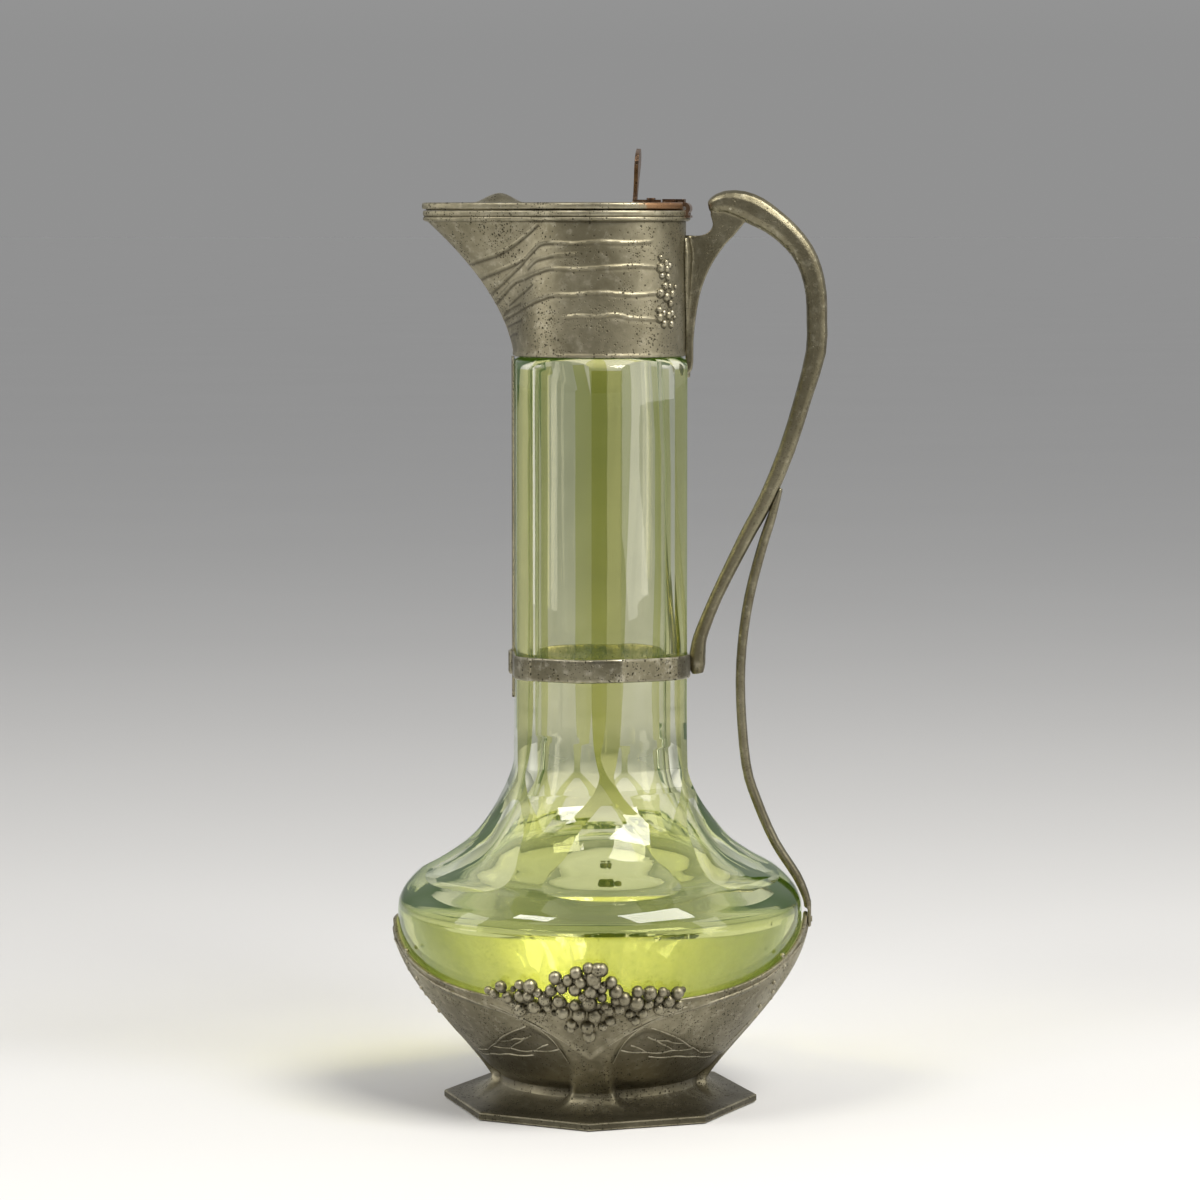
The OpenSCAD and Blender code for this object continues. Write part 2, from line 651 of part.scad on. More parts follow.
// The strut leaves the back of the handle's leg, hangs clear of the shoulder and laps the cup's point.
strut_line = smooth_curve([
    [band_out + 35.5, band_z + band_w / 2 + 68, 2.2, strut_t * 0.8],
    [band_out + 32.3, band_z + band_w / 2 + 57, 3.6, strut_t],
    [band_out + 28.5, band_z + band_w / 2 + 45, 4, strut_t],
    [band_out + 23.7, band_z + band_w / 2 + 26, 4, strut_t],
    [band_out + 20.9, band_z + band_w / 2 + 6, 3.8, strut_t],
    [band_out + 20.5, band_z + band_w / 2 - 14, 3.8, strut_t],
    [bulb_r - 21.8, bulb_z + 56, 3.8, strut_t],
    [bulb_r - 17.6, bulb_z + 42, 3.8, strut_t],
    [bulb_r - 10.6, bulb_z + 26, 3.7, strut_t],
    [bulb_r - 2.2, bulb_z + 13, 3.6, strut_t],
    [bulb_r + 1.6, bulb_z + 4.5, 3, strut_t],
    [bulb_r + 2.1, strut_end, 2.6, strut_t]], 3);

module handle_strut() {
    lap = 6;
    color(PEWTER) difference() {
        union() {
            bar(strut_line, 10, 2.6);
            // Flat lap, let in behind the strut's end and riveted outside the cup's point.
            translate([peak_r + solder_gap, -strut_t / 2 + 0.6, rim_peak - lap]) cube([1.3, strut_t - 1.2, lap + 4]);
        }
        handle_bar();
        translate([0, 0, bulb_z - 20]) rotate_extrude($fn = round_fn)
            polygon(concat([[0, 0]], [for (p = shoulder_line) [blank_r(p[0]) + 0.3, 20 + shoulder_h * p[1]]],
                           [[0, shoulder_h + 20]], [[0, 0]]));
        strut_rivet_hole();
    }
}

module strut_rivet_hole() {
    translate([bulb_r + seat_gap, 0, rim_peak - 3]) rotate([0, 90, 0])
        cylinder(r = strut_rivet_r + solder_gap, h = 9, $fn = 32);
}

module strut_rivet() {
    color(PEWTER) translate([bulb_r + seat_gap + 0.1, 0, rim_peak - 3]) rotate([0, 90, 0])
        cylinder(r = strut_rivet_r, h = cup_wall + 1.7, $fn = 32);
}

base_cup();
foot_plate();
base_pad();
glass_body();
berries_front();
berries_back();
neck_band();
band_rivet();
spout_tongue();
collar();
collar_bedding();
collar_hinge_lug();
lid();
lid_hinge_leaf();
hinge_pin();
thumb_piece();
thumb_rivets();
handle();
handle_strut();
strut_rivet();
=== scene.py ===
import math
import random

import bpy
from mathutils import Matrix, Vector


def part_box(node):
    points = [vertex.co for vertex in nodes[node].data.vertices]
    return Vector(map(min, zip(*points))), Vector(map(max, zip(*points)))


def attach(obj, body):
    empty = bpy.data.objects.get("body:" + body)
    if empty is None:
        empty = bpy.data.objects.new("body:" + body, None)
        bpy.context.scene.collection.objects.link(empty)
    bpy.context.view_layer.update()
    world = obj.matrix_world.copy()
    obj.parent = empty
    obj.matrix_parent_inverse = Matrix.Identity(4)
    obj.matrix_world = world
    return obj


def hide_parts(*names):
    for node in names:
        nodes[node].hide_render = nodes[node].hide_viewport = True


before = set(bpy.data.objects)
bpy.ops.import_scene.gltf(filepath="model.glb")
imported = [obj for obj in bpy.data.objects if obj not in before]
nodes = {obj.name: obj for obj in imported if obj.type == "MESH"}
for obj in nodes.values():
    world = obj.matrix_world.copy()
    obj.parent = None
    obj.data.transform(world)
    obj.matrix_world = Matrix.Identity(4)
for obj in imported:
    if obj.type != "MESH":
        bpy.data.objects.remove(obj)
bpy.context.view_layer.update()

# ---- camera ----
# Long lens level with the collar, looking down five degrees and standing four
# degrees round from the front of the jug to the handle's side.
CAMERA_AWAY, CAMERA_HEIGHT = 1.676, 0.342
CAMERA_TURN, CAMERA_DOWN = math.radians(4), math.radians(5)
CAMERA_LENS, CAMERA_SENSOR = 130.7, 36

bpy.ops.object.select_all(action="DESELECT")
bpy.ops.object.camera_add(
    location=(CAMERA_AWAY * math.sin(CAMERA_TURN), -CAMERA_AWAY * math.cos(CAMERA_TURN), CAMERA_HEIGHT),
    rotation=(math.pi / 2 - CAMERA_DOWN, 0, CAMERA_TURN),
)
camera = bpy.context.object
camera.name = "camera"
camera.data.lens = CAMERA_LENS
camera.data.sensor_width = CAMERA_SENSOR
camera.data.clip_end = 100
bpy.context.scene.camera = camera
# Plain tones, with no film curve over them.
bpy.context.scene.view_settings.view_transform = "Standard"


# ---- floor and light ----
# Plain pale floor in a pale studio that is darker in front of the jug. A big soft light
# stands high on the right, a smaller one on the left, and a tall dim screen on each side.
FLOOR_TONE, FLOOR_CLOUD = (0.72, 0.72, 0.72), (0.75, 0.75, 0.75)
SOFT_WHITE = (1.0, 0.97, 0.92)


def new_material(name, metallic, rough):
    """Material with its shader's plain values; gives the material, its nodes and its shader."""
    mat = bpy.data.materials.new(name)
    mat.use_nodes = True
    nt = mat.node_tree
    shader = nt.nodes["Principled BSDF"]
    shader.inputs["Metallic"].default_value = metallic
    shader.inputs["Roughness"].default_value = rough
    return mat, nt, shader


def object_place(nt):
    """Place on the object, in metres."""
    return nt.nodes.new("ShaderNodeTexCoord").outputs["Object"]


def noise_node(nt, place, scale, detail, rough=0.55):
    """Cloudy noise from 0 to 1."""
    node = nt.nodes.new("ShaderNodeTexNoise")
    node.inputs["Scale"].default_value = scale
    node.inputs["Detail"].default_value = detail
    node.inputs["Roughness"].default_value = rough
    nt.links.new(place, node.inputs["Vector"])
    return node.outputs["Fac"]


def math_node(nt, kind, a, b=None):
    """Math node; a and b are sockets or numbers."""
    node = nt.nodes.new("ShaderNodeMath")
    node.operation = kind
    for i, value in enumerate((a, b)):
        if value is None:
            continue
        if isinstance(value, (int, float)):
            node.inputs[i].default_value = value
        else:
            nt.links.new(value, node.inputs[i])
    return node.outputs[0]


def ramp_node(nt, fac, low, high, start=0.0, end=1.0, kind="SMOOTHSTEP"):
    """Value that goes from start to end while fac goes from low to high."""
    node = nt.nodes.new("ShaderNodeMapRange")
    node.interpolation_type = kind
    for label, value in (("From Min", low), ("From Max", high), ("To Min", start), ("To Max", end)):
        node.inputs[label].default_value = value
    nt.links.new(fac, node.inputs["Value"])
    return node.outputs["Result"]


def mix_colour(nt, fac, a, b):
    """Colour between a and b; each is a socket, or a plain value."""
    node = nt.nodes.new("ShaderNodeMix")
    node.data_type = "RGBA"
    for i, value in ((0, fac), (6, a), (7, b)):
        if isinstance(value, (int, float)):
            node.inputs[i].default_value = value
        elif isinstance(value, tuple):
            node.inputs[i].default_value = (*value, 1)
        else:
            nt.links.new(value, node.inputs[i])
    return node.outputs[2]


floor_paint, nt, shader = new_material("pale_floor", 0.0, 0.75)
shader.inputs["Specular IOR Level"].default_value = 0.2
cloud = noise_node(nt, object_place(nt), 2.5, 2, 0.5)
nt.links.new(mix_colour(nt, cloud, FLOOR_TONE, FLOOR_CLOUD), shader.inputs["Base Color"])
bpy.ops.object.select_all(action="DESELECT")
bpy.ops.mesh.primitive_plane_add(size=160, location=(0, 0, -0.0003))
floor = bpy.context.object
floor.name = "floor"
floor.data.materials.append(floor_paint)


def soft_light(name, turn, lift, away, wide, high, power):
    """Square light that looks at the bulb from an angle round from the front, and an angle up."""
    a, e = math.radians(turn), math.radians(lift)
    aim = Vector((0, 0, 0.12))
    spot = aim + away * Vector((math.sin(a) * math.cos(e), -math.cos(a) * math.cos(e), math.sin(e)))
    bpy.ops.object.light_add(type="AREA", location=spot)
    lamp = bpy.context.object
    lamp.name = name
    lamp.data.shape = "RECTANGLE"
    lamp.data.size = wide
    lamp.data.size_y = high
    lamp.data.energy = power
    lamp.data.color = SOFT_WHITE
    lamp.rotation_euler = (aim - spot).to_track_quat("-Z", "Y").to_euler()


soft_light("key_light", 47, 50, 1.7, 0.95, 0.75, 31)
soft_light("side_light", -42, 44, 1.9, 0.65, 0.35, 12)
soft_light("left_screen", -76, 14, 1.7, 0.5, 1.0, 5.5)
soft_light("right_screen", 70, 14, 1.7, 0.5, 1.0, 4.0)

world = bpy.data.worlds.new("studio")
bpy.context.scene.world = world
world.use_nodes = True
nt = world.node_tree
background = nt.nodes["Background"]
split = nt.nodes.new("ShaderNodeSeparateXYZ")
nt.links.new(nt.nodes.new("ShaderNodeTexCoord").outputs["Generated"], split.inputs["Vector"])
# Its tone by height, from the horizon, where it meets the floor's, to straight up.
ramp = nt.nodes.new("ShaderNodeValToRGB")
ramp.color_ramp.elements.new(0.4)
for stop, (height, tone) in zip(ramp.color_ramp.elements, ((0.04, 0.284), (0.4, 0.62), (1.0, 0.46))):
    stop.position = height
    stop.color = (tone, tone, tone, 1)
nt.links.new(split.outputs["Z"], ramp.inputs["Fac"])
nt.links.new(ramp.outputs["Color"], background.inputs["Color"])
# Darker in front of the jug than behind it, and brighter to both sides, as with white screens.
behind = ramp_node(nt, split.outputs["Y"], -0.6, 0.5, 0.12, 1.0, "LINEAR")
sides = ramp_node(nt, math_node(nt, "ABSOLUTE", split.outputs["X"]), 0.6, 0.92, 1.0, 2.2)
nt.links.new(math_node(nt, "MULTIPLY", behind, sides), background.inputs["Strength"])


# ---- cup and foot ----
# Cup of cast pewter on an eight-sided foot, hollow below its floor. Four trunks stand
# in relief and their arms run out under the rim; the hollows between them have fine
# twigs, and small buds stand on the two points.
MM = 0.001
WAIST_R, WAIST_Z = 41.5, 10.5
PEAK_R, PEAK_Z = 80.6, 75
RIM_LOW, FREE_TIP_Z = 51, 71.5
CUP_WALL, CUP_FLOOR_Z = 1.8, 15
FOOT_R, FOOT_T = 61, 3
FLAT_R = FOOT_R * math.cos(math.radians(22.5))
FOOT_RING, FOOT_COVE = FLAT_R - 7, FLAT_R - 0.6
WALL_ROWS = 96


def between(table, x):
    """Value at x on the line through the table's points."""
    if x <= table[0][0]:
        return table[0][1]
    for (x0, y0), (x1, y1) in zip(table, table[1:]):
        if x <= x1:
            return y0 + (y1 - y0) * (x - x0) / (x1 - x0)
    return table[-1][1]


def step(x, low, high):
    """0 below low, 1 above high, smooth between."""
    t = min(1, max(0, (x - low) / (high - low)))
    return t * t * (3 - 2 * t)


def cup_r(z):
    """Radius of the plain cup at a height."""
    t = min(1, max(0, (z - WAIST_Z) / (PEAK_Z - WAIST_Z)))
    return WAIST_R + (PEAK_R - WAIST_R) * math.sin(math.pi / 2 * t**1.12)


def rim_z(a):
    """Height of the rim at an angle from the front: low at front and back, with a point at each side."""
    fold = min(abs(a), 180 - abs(a))
    z = RIM_LOW + (PEAK_Z - RIM_LOW) * (fold / 90) ** 3.2
    return min(z, FREE_TIP_Z) if a < 0 else z


def octagon(a):
    """Distance from the axis to the foot's edge, with a corner at the front."""
    return FLAT_R / math.cos(math.radians(a % 45 - 22.5))


# An arm's lower and upper edge, and a hollow's top: angle from the trunk, and height.
ARM_LOW = [
    (8.2, 24), (10, 31), (13, 36.5), (16, 40), (20, 42.6), (25, 44.6), (38, 47.6), (50, 50), (62, 54),
    (76, 61.5), (90, 69),
]
ARM_HIGH = [(0, 27), (5, 31.2), (12, 37.8), (18, 42.3), (24.5, 47), (33, 52)]
HOLLOW_TOP = [
    (8, 26), (14, 35), (20, 39), (26, 37.4), (34, 33.4), (42, 29.5), (50, 26.5), (60, 24), (76, 22), (84, 20),
]
# A trunk's half width in degrees, by height.
TRUNK_HALF = [(3, 24), (5.5, 16.5), (8, 13), (12, 10.5), (17, 8.8), (22, 8.2), (30, 8.6), (45, 12), (75, 20)]


def trunk_and_hollow(a, z):
    """How far a spot belongs to a raised trunk or arm, and to a hollow, each from 0 to 1."""
    side = abs(a) if abs(a) <= 90 else 180 - abs(a)
    from_trunk = min(side, 90 - side)
    half = between(TRUNK_HALF, z)
    trunk = 1 - step(from_trunk, half - 2.5, half + 2)
    if side < 45:
        crotch = step(between(ARM_HIGH, side) - z, -1.6, 1.4)
        trunk *= max(crotch, step(side - half, -2, 2))
    arm = step(z - between(ARM_LOW, side), -0.7, 0.7)
    if side <= 33:
        arm *= 1 - step(z - between(ARM_HIGH, side), -0.7, 0.7)
    raised = max(trunk, arm * step(side, 7, 9))
    hollow = step(between(HOLLOW_TOP, side) - z, -1.2, 2.0) * step(from_trunk - half, -1.5, 3.0)
    return raised, hollow


def cup_relief(a, z):
    """Height of the casting's relief over the plain cup, in mm; the hollows stay shallower than the wall."""
    raised, hollow = trunk_and_hollow(a, z)
    deep = 1.0 + 2.0 * (1 - step(z, 12, 16.5))
    return 0.9 * raised - deep * hollow


def add_grid(name, across, up, place, smooth=35):
    """Grid of faces rolled up by place(u, v), in mm, with u and v from 0 to 1; its seams are closed."""
    bpy.ops.object.select_all(action="DESELECT")
    bpy.ops.mesh.primitive_grid_add(x_subdivisions=across, y_subdivisions=up, size=1)
    piece = bpy.context.object
    piece.name = piece.data.name = name
    for vert in piece.data.vertices:
        vert.co = MM * Vector(place(vert.co.x + 0.5, vert.co.y + 0.5))
    bpy.ops.object.mode_set(mode="EDIT")
    bpy.ops.mesh.select_all(action="SELECT")
    bpy.ops.mesh.remove_doubles(threshold=2e-6)
    bpy.ops.mesh.normals_make_consistent(inside=False)
    bpy.ops.object.mode_set(mode="OBJECT")
    bpy.ops.object.shade_smooth_by_angle(angle=math.radians(smooth))
    return piece


def around(a, r, z):
    """Point at an angle from the front, positive towards the handle."""
    return (r * math.sin(math.radians(a)), -r * math.cos(math.radians(a)), z)


# Stations from the hollow foot's middle, round its edge and up the wall to the floor inside.
UNDER_FLOOR = 2.6
cup_stations = [("round", 0, CUP_FLOOR_Z - UNDER_FLOOR)]
for t in (90, 70, 50, 30, 15, 0):
    s, c = math.sin(math.radians(t)), math.cos(math.radians(t))
    r = FOOT_RING - (FOOT_RING - WAIST_R + UNDER_FLOOR) * s
    cup_stations.append(("round", r, (CUP_FLOOR_Z - UNDER_FLOOR) * (1 - c)))
edge_line = [(0.45, 0), (0.1, 0.25), (0, 0.6), (0, FOOT_T - 0.7), (0.15, FOOT_T - 0.25), (0.6, FOOT_T)]
cup_stations += [("edge", x, z) for x, z in edge_line]
cup_stations += [("cove", t, 0) for t in (0, 3, 6, 10, 14, 18, 23, 28, 34, 40, 47, 54, 61, 68, 75, 82, 90)]
cup_stations += [("wall", i / WALL_ROWS, 0) for i in range(1, WALL_ROWS + 1)]
cup_stations += [("rim", 0.35, 0.25), ("rim", 0.9, 0.4), ("rim", 1.45, 0.25)]
cup_stations += [("inside", i / 16, 0) for i in range(16, -1, -1)]
cup_stations += [("round", 20, CUP_FLOOR_Z), ("round", 0, CUP_FLOOR_Z)]


def cup_point(u, v):
    """Point round the cup by u and on its stations by v."""
    a = -180 + 360 * u
    kind, x, z = cup_stations[round(v * (len(cup_stations) - 1))]
    top = rim_z(a)
    if kind == "round":
        return around(a, x, z)
    if kind == "edge":
        return around(a, octagon(a) - x, z)
    if kind == "cove":
        s, c = math.sin(math.radians(x)), math.cos(math.radians(x))
        start = FOOT_COVE + (octagon(a) - 1.2 - FOOT_COVE) * (1 - x / 90) ** 3
        r = start - (start - WAIST_R) * s
        z = FOOT_T + (WAIST_Z - FOOT_T) * (1 - c)
        return around(a, r + cup_relief(a, z) * s**2.6, z)
    if kind == "wall":
        z = WAIST_Z + (top - 0.4 - WAIST_Z) * x
        fade = 1 - step(z, top - 4.5, top - 2.0)
        return around(a, cup_r(z) + cup_relief(a, z) * fade, z)
    if kind == "rim":
        return around(a, cup_r(top) - x, top - 0.4 + z)
    z = CUP_FLOOR_Z + (top - 0.8 - CUP_FLOOR_Z) * x
    return around(a, cup_r(z) - CUP_WALL, z)


cup = add_grid("cup_casting", 560, len(cup_stations) - 1, cup_point)
# Painted shade: the hollows, and the foot's top, most near the cup's waist, are darkened by a share from 0 to 1 at
# each point.
shade_share = cup.data.attributes.new("shade_share", "FLOAT", "POINT")
for i, vert in enumerate(cup.data.vertices):
    x, y, z = (c / MM for c in vert.co)
    raised, hollow = trunk_and_hollow(math.degrees(math.atan2(x, -y)), z)
    if z > WAIST_Z:
        shade_share.data[i].value = hollow
    elif z > FOOT_T - 0.1:
        r = math.hypot(x, y)
        shade_share.data[i].value = max(0.3 * (1 - raised), 0.9 * step(r, 46, 51)) * (1 - step(r, 57, 61))


def pick(piece):
    """Selects this piece alone."""
    bpy.ops.object.select_all(action="DESELECT")
    piece.select_set(True)
    bpy.context.view_layer.objects.active = piece


def add_wire(name, line, thick):
    """Round wire through the line's points, in mm, thinning to its ends."""
    data = bpy.data.curves.new(name, "CURVE")
    data.dimensions = "3D"
    data.bevel_depth = thick * MM
    data.bevel_resolution = 2
    data.use_fill_caps = True
    spline = data.splines.new("NURBS")
    spline.points.add(len(line) - 1)
    spline.use_endpoint_u = True
    spline.order_u = 3
    spline.resolution_u = 3
    for i, p in enumerate(line):
        t = i / (len(line) - 1)
        spline.points[i].co = (p[0] * MM, p[1] * MM, p[2] * MM, 1)
        spline.points[i].radius = 0.35 + 0.65 * math.sin(math.pi * min(1, 0.2 + 0.9 * (1 - t))) ** 0.6
    wire = bpy.data.objects.new(name, data)
    bpy.context.scene.collection.objects.link(wire)
    pick(wire)
    bpy.ops.object.convert(target="MESH")
    bpy.ops.object.shade_smooth()
    return bpy.context.object


def join_to(piece, extras):
    """Joins the extras to the piece."""
    pick(piece)
    for part in extras:
        part.select_set(True)
    bpy.ops.object.join()


# Twigs, and the lines along an arm's middle and upper edge: angle from the trunk, and height.
TWIGS = [
    [(50, 25.6), (46, 27.6), (42, 29.0), (38, 31.2), (34, 33.6), (30, 35.6), (26, 37.6), (21, 39.8)],
    [(44, 28.0), (39, 27.6), (34, 28.6), (28, 27.4), (22, 28.8), (16, 28.6), (12, 30)],
    [(34, 28.6), (30, 31), (27, 32), (24, 34.6)],
    [(38, 31.2), (33, 31.4), (29, 33.6), (25, 33.2), (21, 35.6)],
    [(60, 24.2), (54, 25), (50, 25.6)],
    [(22, 28.8), (19, 31), (15.5, 32)],
    [(63, 21.8), (56, 22.3), (50, 23.9), (44, 24.2), (38, 25.6), (30, 25.2), (24, 26.5)],
    [(63, 21.8), (69, 26), (74, 33), (77, 42)],
]
ARM_LINE = [
    (9.5, 24), (11.5, 31), (14.5, 36.5), (18, 40.4), (24, 44.3), (34, 47.6), (46, 50.4), (58, 53.6),
    (70, 58.6), (80, 64.5),
]
ARM_EDGE = [(7, 32.4), (10, 34.8), (13.4, 37.8), (18.8, 41.6), (25, 45.8), (31, 48.2)]
twigs = []
for turn in (0, 180):
    for side in (-1, 1):
        for n, twig in enumerate(TWIGS):
            line = [around(turn + side * a, cup_r(z) + cup_relief(min(a, 90), z) + 0.05, z) for a, z in twig]
            twigs.append(add_wire(f"twig_{turn}_{side}_{n}", line, 0.42))
        line = [around(turn + side * a, cup_r(z) + cup_relief(min(a, 90), z) * 0.9, z) for a, z in ARM_LINE]
        twigs.append(add_wire(f"arm_line_{turn}_{side}", line, 0.5))
        line = [around(turn + side * a, cup_r(z) + 0.75, z) for a, z in ARM_EDGE]
        twigs.append(add_wire(f"arm_edge_{turn}_{side}", line, 0.45))
join_to(cup, twigs)

# Buds on the points, by angle and height.
SIDE_BUDS = [(66, 63), (71, 57.5), (76, 60), (69, 51.5), (75, 46.5), (71, 41.5), (79, 53), (80, 43), (76, 37)]
BUD_R = 0.95


def add_ball(name, spot, r, flat=1.0, turn=0.0, detail=3):
    """Berry in mm, squeezed along the line to the axis by flat."""
    bpy.ops.object.select_all(action="DESELECT")
    bpy.ops.mesh.primitive_ico_sphere_add(subdivisions=detail, radius=r * MM)
    ball = bpy.context.object
    ball.name = ball.data.name = name
    turned = Matrix.Rotation(math.radians(turn), 4, "Z") @ Matrix.Diagonal((1, flat, 1.06, 1))
    ball.data.transform(Matrix.Translation(Vector(spot) * MM) @ turned)
    bpy.ops.object.shade_smooth()
    return ball


buds = []
for turn in (0, 180):
    for side in (-1, 1):
        for n, (a, z) in enumerate(SIDE_BUDS):
            spot = around(turn + side * a, cup_r(z) + 0.1, z)
            buds.append(add_ball(f"bud_{turn}_{side}_{n}", spot, BUD_R, 1.0, turn + side * a, 2))
join_to(cup, buds)


def new_group(name, inputs, outputs):
    """Empty node group with named float, colour and vector sockets."""
    group = bpy.data.node_groups.new(name, "ShaderNodeTree")
    for label, kind in inputs:
        group.interface.new_socket(label, in_out="INPUT", socket_type=kind)
    for label, kind in outputs:
        group.interface.new_socket(label, in_out="OUTPUT", socket_type=kind)
    start = group.nodes.new("NodeGroupInput")
    end = group.nodes.new("NodeGroupOutput")
    return group, start, end


# Patina shared by all worn metal: cloudy tone, small dark pits in patches, and bright worn edges.
DIRT_AND_SHADE, PIT_DARK = (0.045, 0.038, 0.025), (0.03, 0.025, 0.015)
patina, start, end = new_group(
    "aged_patina",
    [
        ("Metal", "NodeSocketColor"),
        ("Dark", "NodeSocketColor"),
        ("Worn", "NodeSocketColor"),
        ("Pits", "NodeSocketFloat"),
        ("Wear", "NodeSocketFloat"),
        ("Sheen Roughness", "NodeSocketFloat"),
    ],
    [("Color", "NodeSocketColor"), ("Roughness", "NodeSocketFloat"), ("Height", "NodeSocketFloat")],
)
nt = patina
place = object_place(nt)
cloud = noise_node(nt, place, 32, 6, 0.62)
blotch = noise_node(nt, place, 300, 5, 0.66)
grain = noise_node(nt, place, 1700, 3, 0.6)
patch = ramp_node(nt, noise_node(nt, place, 70, 5, 0.7), 0.42, 0.62)


def pit_dots(nt, place, patch, size, reach):
    """Round dots, more of them where the patch value is high."""
    cells = nt.nodes.new("ShaderNodeTexVoronoi")
    cells.inputs["Scale"].default_value = size
    cells.inputs["Randomness"].default_value = 1.0
    nt.links.new(place, cells.inputs["Vector"])
    parts = nt.nodes.new("ShaderNodeSeparateColor")
    nt.links.new(cells.outputs["Color"], parts.inputs["Color"])
    share = math_node(nt, "ADD", math_node(nt, "MULTIPLY", patch, 0.62), 0.04)
    shown = math_node(nt, "LESS_THAN", parts.outputs["Red"], share)
    return math_node(nt, "MULTIPLY", ramp_node(nt, cells.outputs["Distance"], reach, reach * 0.45), shown)


def part_of(nt, fac, share):
    """A share of a value."""
    return math_node(nt, "MULTIPLY", fac, share)


dots = math_node(nt, "MAXIMUM", pit_dots(nt, place, patch, 640, 0.36), pit_dots(nt, place, patch, 1250, 0.42))
dots = part_of(nt, dots, start.outputs["Pits"])
pointed = nt.nodes.new("ShaderNodeNewGeometry").outputs["Pointiness"]
convex = ramp_node(nt, pointed, 0.51, 0.60)
hollowed = ramp_node(nt, pointed, 0.495, 0.44)
tone = mix_colour(nt, part_of(nt, ramp_node(nt, cloud, 0.4, 0.62), 0.7), start.outputs["Metal"], start.outputs["Dark"])
tone = mix_colour(nt, part_of(nt, ramp_node(nt, blotch, 0.5, 0.72), 0.45), tone, start.outputs["Worn"])
tone = mix_colour(nt, part_of(nt, ramp_node(nt, blotch, 0.47, 0.3), 0.4), tone, start.outputs["Dark"])
worn = part_of(nt, part_of(nt, convex, start.outputs["Wear"]), ramp_node(nt, blotch, 0.3, 0.55))
tone = mix_colour(nt, worn, tone, start.outputs["Worn"])
# Concave places are darkened: dirt, and painted shade.
tone = mix_colour(nt, part_of(nt, hollowed, 0.75), tone, DIRT_AND_SHADE)
tone = mix_colour(nt, part_of(nt, dots, 0.9), tone, PIT_DARK)
nt.links.new(tone, end.inputs["Color"])
rough = math_node(nt, "ADD", start.outputs["Sheen Roughness"], part_of(nt, cloud, 0.12))
rough = math_node(nt, "SUBTRACT", rough, part_of(nt, worn, 0.08))
rough = math_node(nt, "ADD", rough, part_of(nt, dots, 0.25))
nt.links.new(rough, end.inputs["Roughness"])
height = math_node(nt, "ADD", part_of(nt, grain, 0.25), part_of(nt, blotch, 0.45))
height = math_node(nt, "SUBTRACT", height, part_of(nt, dots, 0.8))
nt.links.new(height, end.inputs["Height"])


def add_bump(nt, shader, height, strength, distance):
    """Bump from a height, with its depth in metres."""
    bumps = nt.nodes.new("ShaderNodeBump")
    bumps.inputs["Strength"].default_value = strength
    bumps.inputs["Distance"].default_value = distance
    nt.links.new(height, bumps.inputs["Height"])
    nt.links.new(bumps.outputs["Normal"], shader.inputs["Normal"])


GRAIN_DEPTH = 0.0002


def metal(name, tones, pits, wear, rough, bump):
    """Metal with the shared patina; tones are its middle, dark and worn colour."""
    mat, nt, shader = new_material(name, 1.0, rough)
    skin = nt.nodes.new("ShaderNodeGroup")
    skin.node_tree = patina
    for label, tone in zip(("Metal", "Dark", "Worn"), tones):
        skin.inputs[label].default_value = (*tone, 1)
    for label, value in (("Pits", pits), ("Wear", wear), ("Sheen Roughness", rough)):
        skin.inputs[label].default_value = value
    add_bump(nt, shader, skin.outputs["Height"], bump, GRAIN_DEPTH)
    nt.links.new(skin.outputs["Color"], shader.inputs["Base Color"])
    nt.links.new(skin.outputs["Roughness"], shader.inputs["Roughness"])
    return mat


def wear_and_shade_tint(mat, share, colour):
    """Mixes another colour over a material, by a share that changes over its surface: rubbed wear on the lid, painted
    shade on the cup and collar.
    """
    nt = mat.node_tree
    base = nt.nodes["Principled BSDF"].inputs["Base Color"]
    nt.links.new(mix_colour(nt, share, base.links[0].from_socket, colour), base)


PEWTER_TONES = (0.28, 0.255, 0.175), (0.135, 0.12, 0.075), (0.46, 0.43, 0.33)
pewter = metal("aged_pewter", PEWTER_TONES, 0.9, 0.7, 0.4, 0.6)
# Painted light: the cup's inside has a lighter colour, for the light that comes to it through the glass.
LIT_TONES = (0.56, 0.56, 0.52), (0.44, 0.44, 0.40), (0.66, 0.66, 0.60)
lit_pewter = metal("inside_pewter_painted_lit", LIT_TONES, 0.3, 0.3, 0.46, 0.4)
# Painted shade, nearly black: the foot's upright edge, the web and small berries between the big ones, and the dishes
# round the collar's berries.
SHADE_TONES = (0.11, 0.10, 0.068), (0.065, 0.058, 0.038), (0.18, 0.165, 0.115)
shade_pewter = metal("shade_painted_pewter", SHADE_TONES, 0.9, 0.3, 0.42, 0.6)
# Pewter with painted shade, darker where the piece's own shade share is high.
cup_pewter = metal("pewter_with_painted_shade", PEWTER_TONES, 0.9, 0.7, 0.4, 0.6)
nt = cup_pewter.node_tree
darkened = nt.nodes.new("ShaderNodeAttribute")
darkened.attribute_name = "shade_share"
wear_and_shade_tint(cup_pewter, math_node(nt, "MULTIPLY", darkened.outputs["Fac"], 0.5), (0.05, 0.042, 0.027))
for mat in (cup_pewter, lit_pewter, shade_pewter):
    cup.data.materials.append(mat)
# The inside faces take the lighter finish of painted light, and the foot's upright edge the painted shade.
for face in cup.data.polygons:
    r, z = face.center.xy.length / MM, face.center.z / MM
    inwards = face.normal.xy.dot(face.center.xy) < 0 or face.normal.z > 0.99
    if inwards and z > CUP_FLOOR_Z - 0.5 and r < cup_r(z) - 1.3:
        face.material_index = 1
    elif abs(face.normal.z) < 0.1 and 0.2 < z < 2.6 and r > 55:
        face.material_index = 2
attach(cup, "jug")
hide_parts("base_cup")


def refinish(node, mat):
    """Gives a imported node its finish."""
    slots = nodes[node].material_slots
    for slot in slots:
        slot.material = mat
    if not slots:
        nodes[node].data.materials.append(mat)


